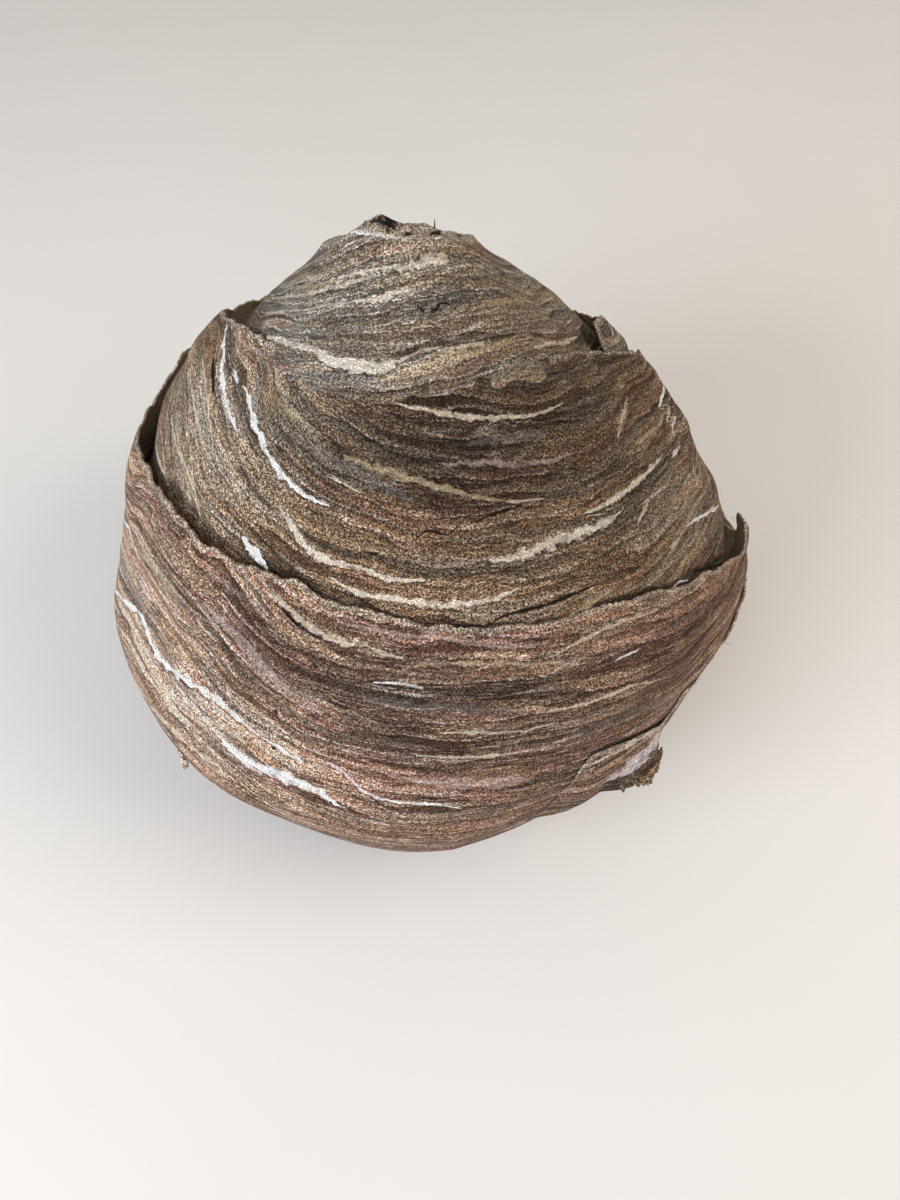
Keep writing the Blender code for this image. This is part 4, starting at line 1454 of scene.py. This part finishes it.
def paper_material(name, paper, groups, look):
    """Wasp paper: bands of pulp, their fibres and grains, the torn marks and the cracks."""
    bands, grain, torn = groups
    material = bpy.data.materials.new(name)
    material.use_nodes = True
    bench = NodeBench(material.node_tree)
    shader = material.node_tree.nodes["Principled BSDF"]
    growth = bench.add("Attribute", attribute_name="growth").outputs["Vector"]
    mark_colour = bench.add("Attribute", attribute_name="mark_colour").outputs["Color"]
    mark_at, mark_strength, _ = bench.split("mark")
    crack_and_lip_shade_at, crack_and_lip_shade_strength, _ = bench.split("crack_and_lip_shade")
    below_rim = bench.add("Attribute", attribute_name="below_rim").outputs["Fac"]
    fibres = bench.group(grain, {"Growth": growth, "Size": paper.grain_size / MM})
    colour, relief = bands_colour(bench, paper, look, growth, bands, fibres)
    colour = bench.mix(bench.remap(below_rim, 0.1, 1.2, 0.65, 0.0), colour, RIM_PULP)
    mark = bench.group(torn, {"Away": mark_at, "Strength": mark_strength, "Growth": growth, "Fray": 1.0})
    # Painted shadow along the lower edge of each mark.
    colour = bench.covered(colour, mark["Shadow under"], 0.6, SPECK_AND_SHADOW_PULP)
    lines, grains = fibres["Lines"], fibres["Grain"]
    light = bench.between(lines, 0.8 * GRAIN_POWER, 1.2 * GRAIN_POWER)
    uneven = 0.5 * look.grain_share
    spread = bench.between(grains, 0.5 - uneven, 0.5 + uneven)
    dapple = bench.tinted(bench.mix(spread, GRAIN_SHADE, GRAIN_LIGHT), bench.grey(light))
    colour = bench.tinted(colour, dapple)
    colour = bench.covered(colour, fibres["Specks"], 0.8, SPECK_AND_SHADOW_PULP)
    soft = bench.math("MULTIPLY", bench.between(grains, 0.65, 1.3), bench.between(lines, 0.8, 1.15))
    colour = bench.mix(mark["Mask"], colour, bench.tinted(mark_colour, bench.grey(soft)))
    colour = bench.mix(1.0, colour, PALEST, "DARKEN")
    # Cracks and pinholes darken the paper here, and so does the painted shade on the lip in front of the
    # entrance.
    crack_and_lip_shade = bench.group(torn, {"Away": crack_and_lip_shade_at, "Strength": crack_and_lip_shade_strength, "Growth": growth, "Fray": 0.6})
    crack_and_lip_shade = bench.remap(crack_and_lip_shade["Mask"], 0.0, 0.7, smooth=False)
    colour = bench.mix(crack_and_lip_shade, colour, shade(SPECK_AND_SHADOW_PULP, 0.4))
    # Painted shade down the entrance, and painted light on the sheets' inner faces for the glow through the
    # thin paper.
    inside_light_and_shade = bench.remap(below_rim, look.inside_from, -0.4, look.inside_share, 0.0)
    colour = bench.mix(inside_light_and_shade, colour, look.inside)
    bench.feed(shader.inputs["Base Color"], colour)
    relief = bench.math("MULTIPLY_ADD", grains, 0.6, relief)
    relief = bench.math("MULTIPLY_ADD", lines, 0.1, relief)
    relief = bench.math("MULTIPLY_ADD", mark["Mask"], 0.2, relief)
    relief = bench.math("MULTIPLY_ADD", crack_and_lip_shade, -1.2, relief)
    bump = bench.add("Bump", {"Height": relief, "Distance": 0.6 * MM, "Strength": 0.9})
    bench.feed(shader.inputs["Normal"], bump.outputs["Normal"])
    bench.feed(shader.inputs["Roughness"], bench.between(grains, 0.78, 0.97))
    shader.inputs["Specular IOR Level"].default_value = 0.12
    return material


def nest_material(key):
    """The paper of one sheet, made once with the shared node groups."""
    name = key + "_paper"
    if name in bpy.data.materials:
        return bpy.data.materials[name]
    if "Pulp bands" not in bpy.data.node_groups:
        pulp_band_group()
        wood_grain_group()
        torn_mark_group()
    groups = [bpy.data.node_groups[group] for group in ("Pulp bands", "Wood grain", "Torn mark")]
    return paper_material(name, bpy.context.scene.nest_paper, groups, LOOKS[key])


class NEST_OT_entrance_cone(bpy.types.Operator):
    """Build the cone of paper with the entrance in its tip"""

    bl_idname = "nest.entrance_cone"
    bl_label = "Entrance cone"

    def execute(self, context):
        piece = add_cone(context.scene.nest_shape, nest_material("cone"))
        return {"FINISHED"}


class NEST_OT_shoulder_sheet(bpy.types.Operator):
    """Build the small sheet in the pocket at the right shoulder"""

    bl_idname = "nest.shoulder_sheet"
    bl_label = "Shoulder sheet"

    def execute(self, context):
        shape = context.scene.nest_shape
        piece = add_sheet(
            shape, "shoulder_paper", "shoulder_sheet", SHOULDER_PAPER, CONE_MARKINGS,
            nest_material("shoulder"), radius=50,
        )
        return {"FINISHED"}


class NEST_OT_middle_sheet(bpy.types.Operator):
    """Build the sheet round the cone, stuck to it at the front"""

    bl_idname = "nest.middle_sheet"
    bl_label = "Middle sheet"

    def execute(self, context):
        shape = context.scene.nest_shape
        piece = add_sheet(
            shape, "middle_paper", "middle_sheet", MIDDLE, MIDDLE_MARKINGS,
            nest_material("middle"), radius=68, reach=middle_bulge, over=OUTER,
        )
        return {"FINISHED"}


class NEST_OT_outer_sheet(bpy.types.Operator):
    """Build the large sheet that makes most of the front"""

    bl_idname = "nest.outer_sheet"
    bl_label = "Outer sheet"

    def execute(self, context):
        shape = context.scene.nest_shape
        piece = add_sheet(
            shape, "outer_paper", "outer_sheet", OUTER, OUTER_MARKINGS,
            nest_material("outer"), radius=85, finer_from=0.42, reach=outer_bulge, over=LOWER,
        )
        return {"FINISHED"}


class NEST_OT_lower_sheet(bpy.types.Operator):
    """Build the sheet at the lower right, with its notch and its torn lip"""

    bl_idname = "nest.lower_sheet"
    bl_label = "Lower sheet"

    def execute(self, context):
        shape = context.scene.nest_shape
        piece = add_sheet(
            shape, "lower_paper", "lower_sheet", LOWER, LOWER_MARKINGS,
            nest_material("outer"), radius=88, reach=flap_reach,
        )
        return {"FINISHED"}


class NEST_OT_loose_fibres(bpy.types.Operator):
    """Add the loose fibres along the rims"""

    bl_idname = "nest.loose_fibres"
    bl_label = "Loose fibres"

    def execute(self, context):
        random = np.random.default_rng(FIBRE_SEED)
        count = context.scene.nest_shape.fibre_count
        shares = [(MIDDLE, 0.4), (OUTER, 0.4), (LOWER, 0.2)]
        shapes = []
        for sheet, share in shares:
            start, end = sheet.span()
            margin = 0 if sheet.closed else SHEET_END_MARGIN
            shapes += loose_fibres(random, sheet, (start + margin, end - margin), round(count * share))
        add_bits("loose_fibres", shapes, nest_material("outer"))
        return {"FINISHED"}


class NEST_OT_torn_tip(bpy.types.Operator):
    """Add the torn scraps on the entrance's lip"""

    bl_idname = "nest.torn_tip"
    bl_label = "Torn tip"

    def execute(self, context):
        random = np.random.default_rng(TIP_SEED)
        paper = nest_material("cone")
        # Painted shade: the scraps inside the entrance behind the front of the lip are darkened.
        add_bits("torn_tip_shaded", rim_scraps(random, SHADED_SCRAPS), paper, lightness=-0.8)
        add_bits("torn_tip", rim_scraps(random, PALE_SCRAPS), paper)
        splinter = tube(point_at(*SPLINTER_FOOT) + np.array(SPLINTER_PATH), SPLINTER_RADII)
        add_bits("tip_splinter", [splinter], paper, lightness=-0.8)
        return {"FINISHED"}


class NEST_OT_torn_fringe(bpy.types.Operator):
    """Add the torn fringe at the lower right and the loose tag at the lower left"""

    bl_idname = "nest.torn_fringe"
    bl_label = "Torn fringe"

    def execute(self, context):
        random = np.random.default_rng(FRINGE_SEED)
        add_bits("torn_fringe", torn_fringe(random, FRINGE_COUNT), nest_material("middle"), lightness=0.35)
        start = point_at(TAG_ANGLE, OUTER.outer_radius(TAG_ANGLE, TAG_HEIGHT) - 0.4, TAG_HEIGHT)
        tag = shred(random, start, [1.6, -4.2, -3.0], [1.2, 0.4, 0.2], FRINGE_THICKNESS)
        add_bits("loose_tag", [tag], nest_material("outer"), lightness=1.5)
        return {"FINISHED"}


class NEST_OT_stage(bpy.types.Operator):
    """Set up the plain floor, the soft light and the camera"""

    bl_idname = "nest.stage"
    bl_label = "Stage"

    def execute(self, context):
        stage = context.scene.nest_stage
        add_floor(stage)
        add_lights(context.scene, stage)
        add_camera(context.scene, stage)
        context.scene.view_settings.view_transform = "Standard"
        return {"FINISHED"}


def add_floor(stage):
    """A wide floor whose grain is too faint to see as a pattern."""
    half = FLOOR_HALF_WIDTH
    corners = [(-half, -half, 0), (half, -half, 0), (half, half, 0), (-half, half, 0)]
    mesh = bpy.data.meshes.new("floor")
    mesh.from_pydata(corners, [], [(0, 1, 2, 3)])
    material = bpy.data.materials.new("floor")
    material.use_nodes = True
    bench = NodeBench(material.node_tree)
    shader = material.node_tree.nodes["Principled BSDF"]
    place = bench.add("TexCoord").outputs["Object"]
    cloudy = bench.noise(bench.stretch(place, (9.0, 9.0, 9.0)), detail=4.0)
    colour = tuple(stage.floor_colour)
    bench.feed(shader.inputs["Base Color"], bench.mix(cloudy, shade(colour, 0.97), shade(colour, 1.03)))
    shader.inputs["Roughness"].default_value = 0.85
    mesh.materials.append(material)
    floor = bpy.data.objects.new("floor", mesh)
    floor.location.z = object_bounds()[0][2] - FLOOR_DROP
    bpy.context.collection.objects.link(floor)
    floor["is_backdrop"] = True


def add_area_light(name, place, size, power, colour):
    """A soft light that looks at the nest."""
    light = bpy.data.lights.new(name, "AREA")
    light.shape = "RECTANGLE"
    light.size, light.size_y = size
    light.energy = power
    light.color = colour
    lamp = bpy.data.objects.new(name, light)
    lamp.location = place
    toward = np.array(LIGHT_TARGET) - np.array(place)
    pitch = math.acos(-toward[2] / np.linalg.norm(toward))
    lamp.rotation_euler = (pitch, 0, math.atan2(toward[1], toward[0]) - math.pi / 2)
    bpy.context.collection.objects.link(lamp)


def add_lights(scene, stage):
    """A soft window light from the left, a weak one from the right and an even light from all round."""
    world = bpy.data.worlds.new("soft studio")
    world.use_nodes = True
    background = world.node_tree.nodes["Background"]
    background.inputs["Color"].default_value = SKY_COLOUR
    background.inputs["Strength"].default_value = stage.sky_strength
    scene.world = world
    add_area_light("window", WINDOW_PLACE, WINDOW_SIZE, stage.window_power, WINDOW_COLOUR)
    add_area_light("fill", FILL_PLACE, FILL_SIZE, stage.fill_power, FILL_COLOUR)


def add_camera(scene, stage):
    camera = bpy.data.cameras.new("camera")
    camera.lens = stage.focal_length
    camera.sensor_width = SENSOR_WIDTH_MM
    camera.clip_start = 0.01
    seat = bpy.data.objects.new("camera", camera)
    seat.location = stage.camera_place
    seat.rotation_euler = (stage.camera_tilt, 0, 0)
    bpy.context.collection.objects.link(seat)
    scene.camera = seat


OPERATORS = (
    NEST_OT_entrance_cone,
    NEST_OT_shoulder_sheet,
    NEST_OT_middle_sheet,
    NEST_OT_outer_sheet,
    NEST_OT_lower_sheet,
    NEST_OT_loose_fibres,
    NEST_OT_torn_tip,
    NEST_OT_torn_fringe,
    NEST_OT_stage,
)


class NEST_PT_panel(bpy.types.Panel):
    """Lists the sizes, the colours and the pieces of the nest"""

    bl_idname = "NEST_PT_panel"
    bl_label = "Wasp nest"
    bl_space_type = "VIEW_3D"
    bl_region_type = "UI"
    bl_category = "Wasp nest"

    def draw(self, context):
        scene = context.scene
        for settings in (scene.nest_shape, scene.nest_paper, scene.nest_stage):
            box = self.layout.box()
            for name in settings.__annotations__:
                box.prop(settings, name)
        for operator in OPERATORS:
            self.layout.operator(operator.bl_idname)


CLASSES = (NestShape, NestPaper, NestStage, *OPERATORS, NEST_PT_panel)


def register():
    for cls in CLASSES:
        bpy.utils.register_class(cls)
    bpy.types.Scene.nest_shape = bpy.props.PointerProperty(type=NestShape)
    bpy.types.Scene.nest_paper = bpy.props.PointerProperty(type=NestPaper)
    bpy.types.Scene.nest_stage = bpy.props.PointerProperty(type=NestStage)


def unregister():
    del bpy.types.Scene.nest_stage
    del bpy.types.Scene.nest_paper
    del bpy.types.Scene.nest_shape
    for cls in reversed(CLASSES):
        bpy.utils.unregister_class(cls)


def main():
    register()
    bpy.ops.nest.entrance_cone()
    bpy.ops.nest.shoulder_sheet()
    bpy.ops.nest.middle_sheet()
    bpy.ops.nest.outer_sheet()
    bpy.ops.nest.lower_sheet()
    bpy.ops.nest.loose_fibres()
    bpy.ops.nest.torn_tip()
    bpy.ops.nest.torn_fringe()
    bpy.ops.nest.stage()


if __name__ == "__main__":
    main()
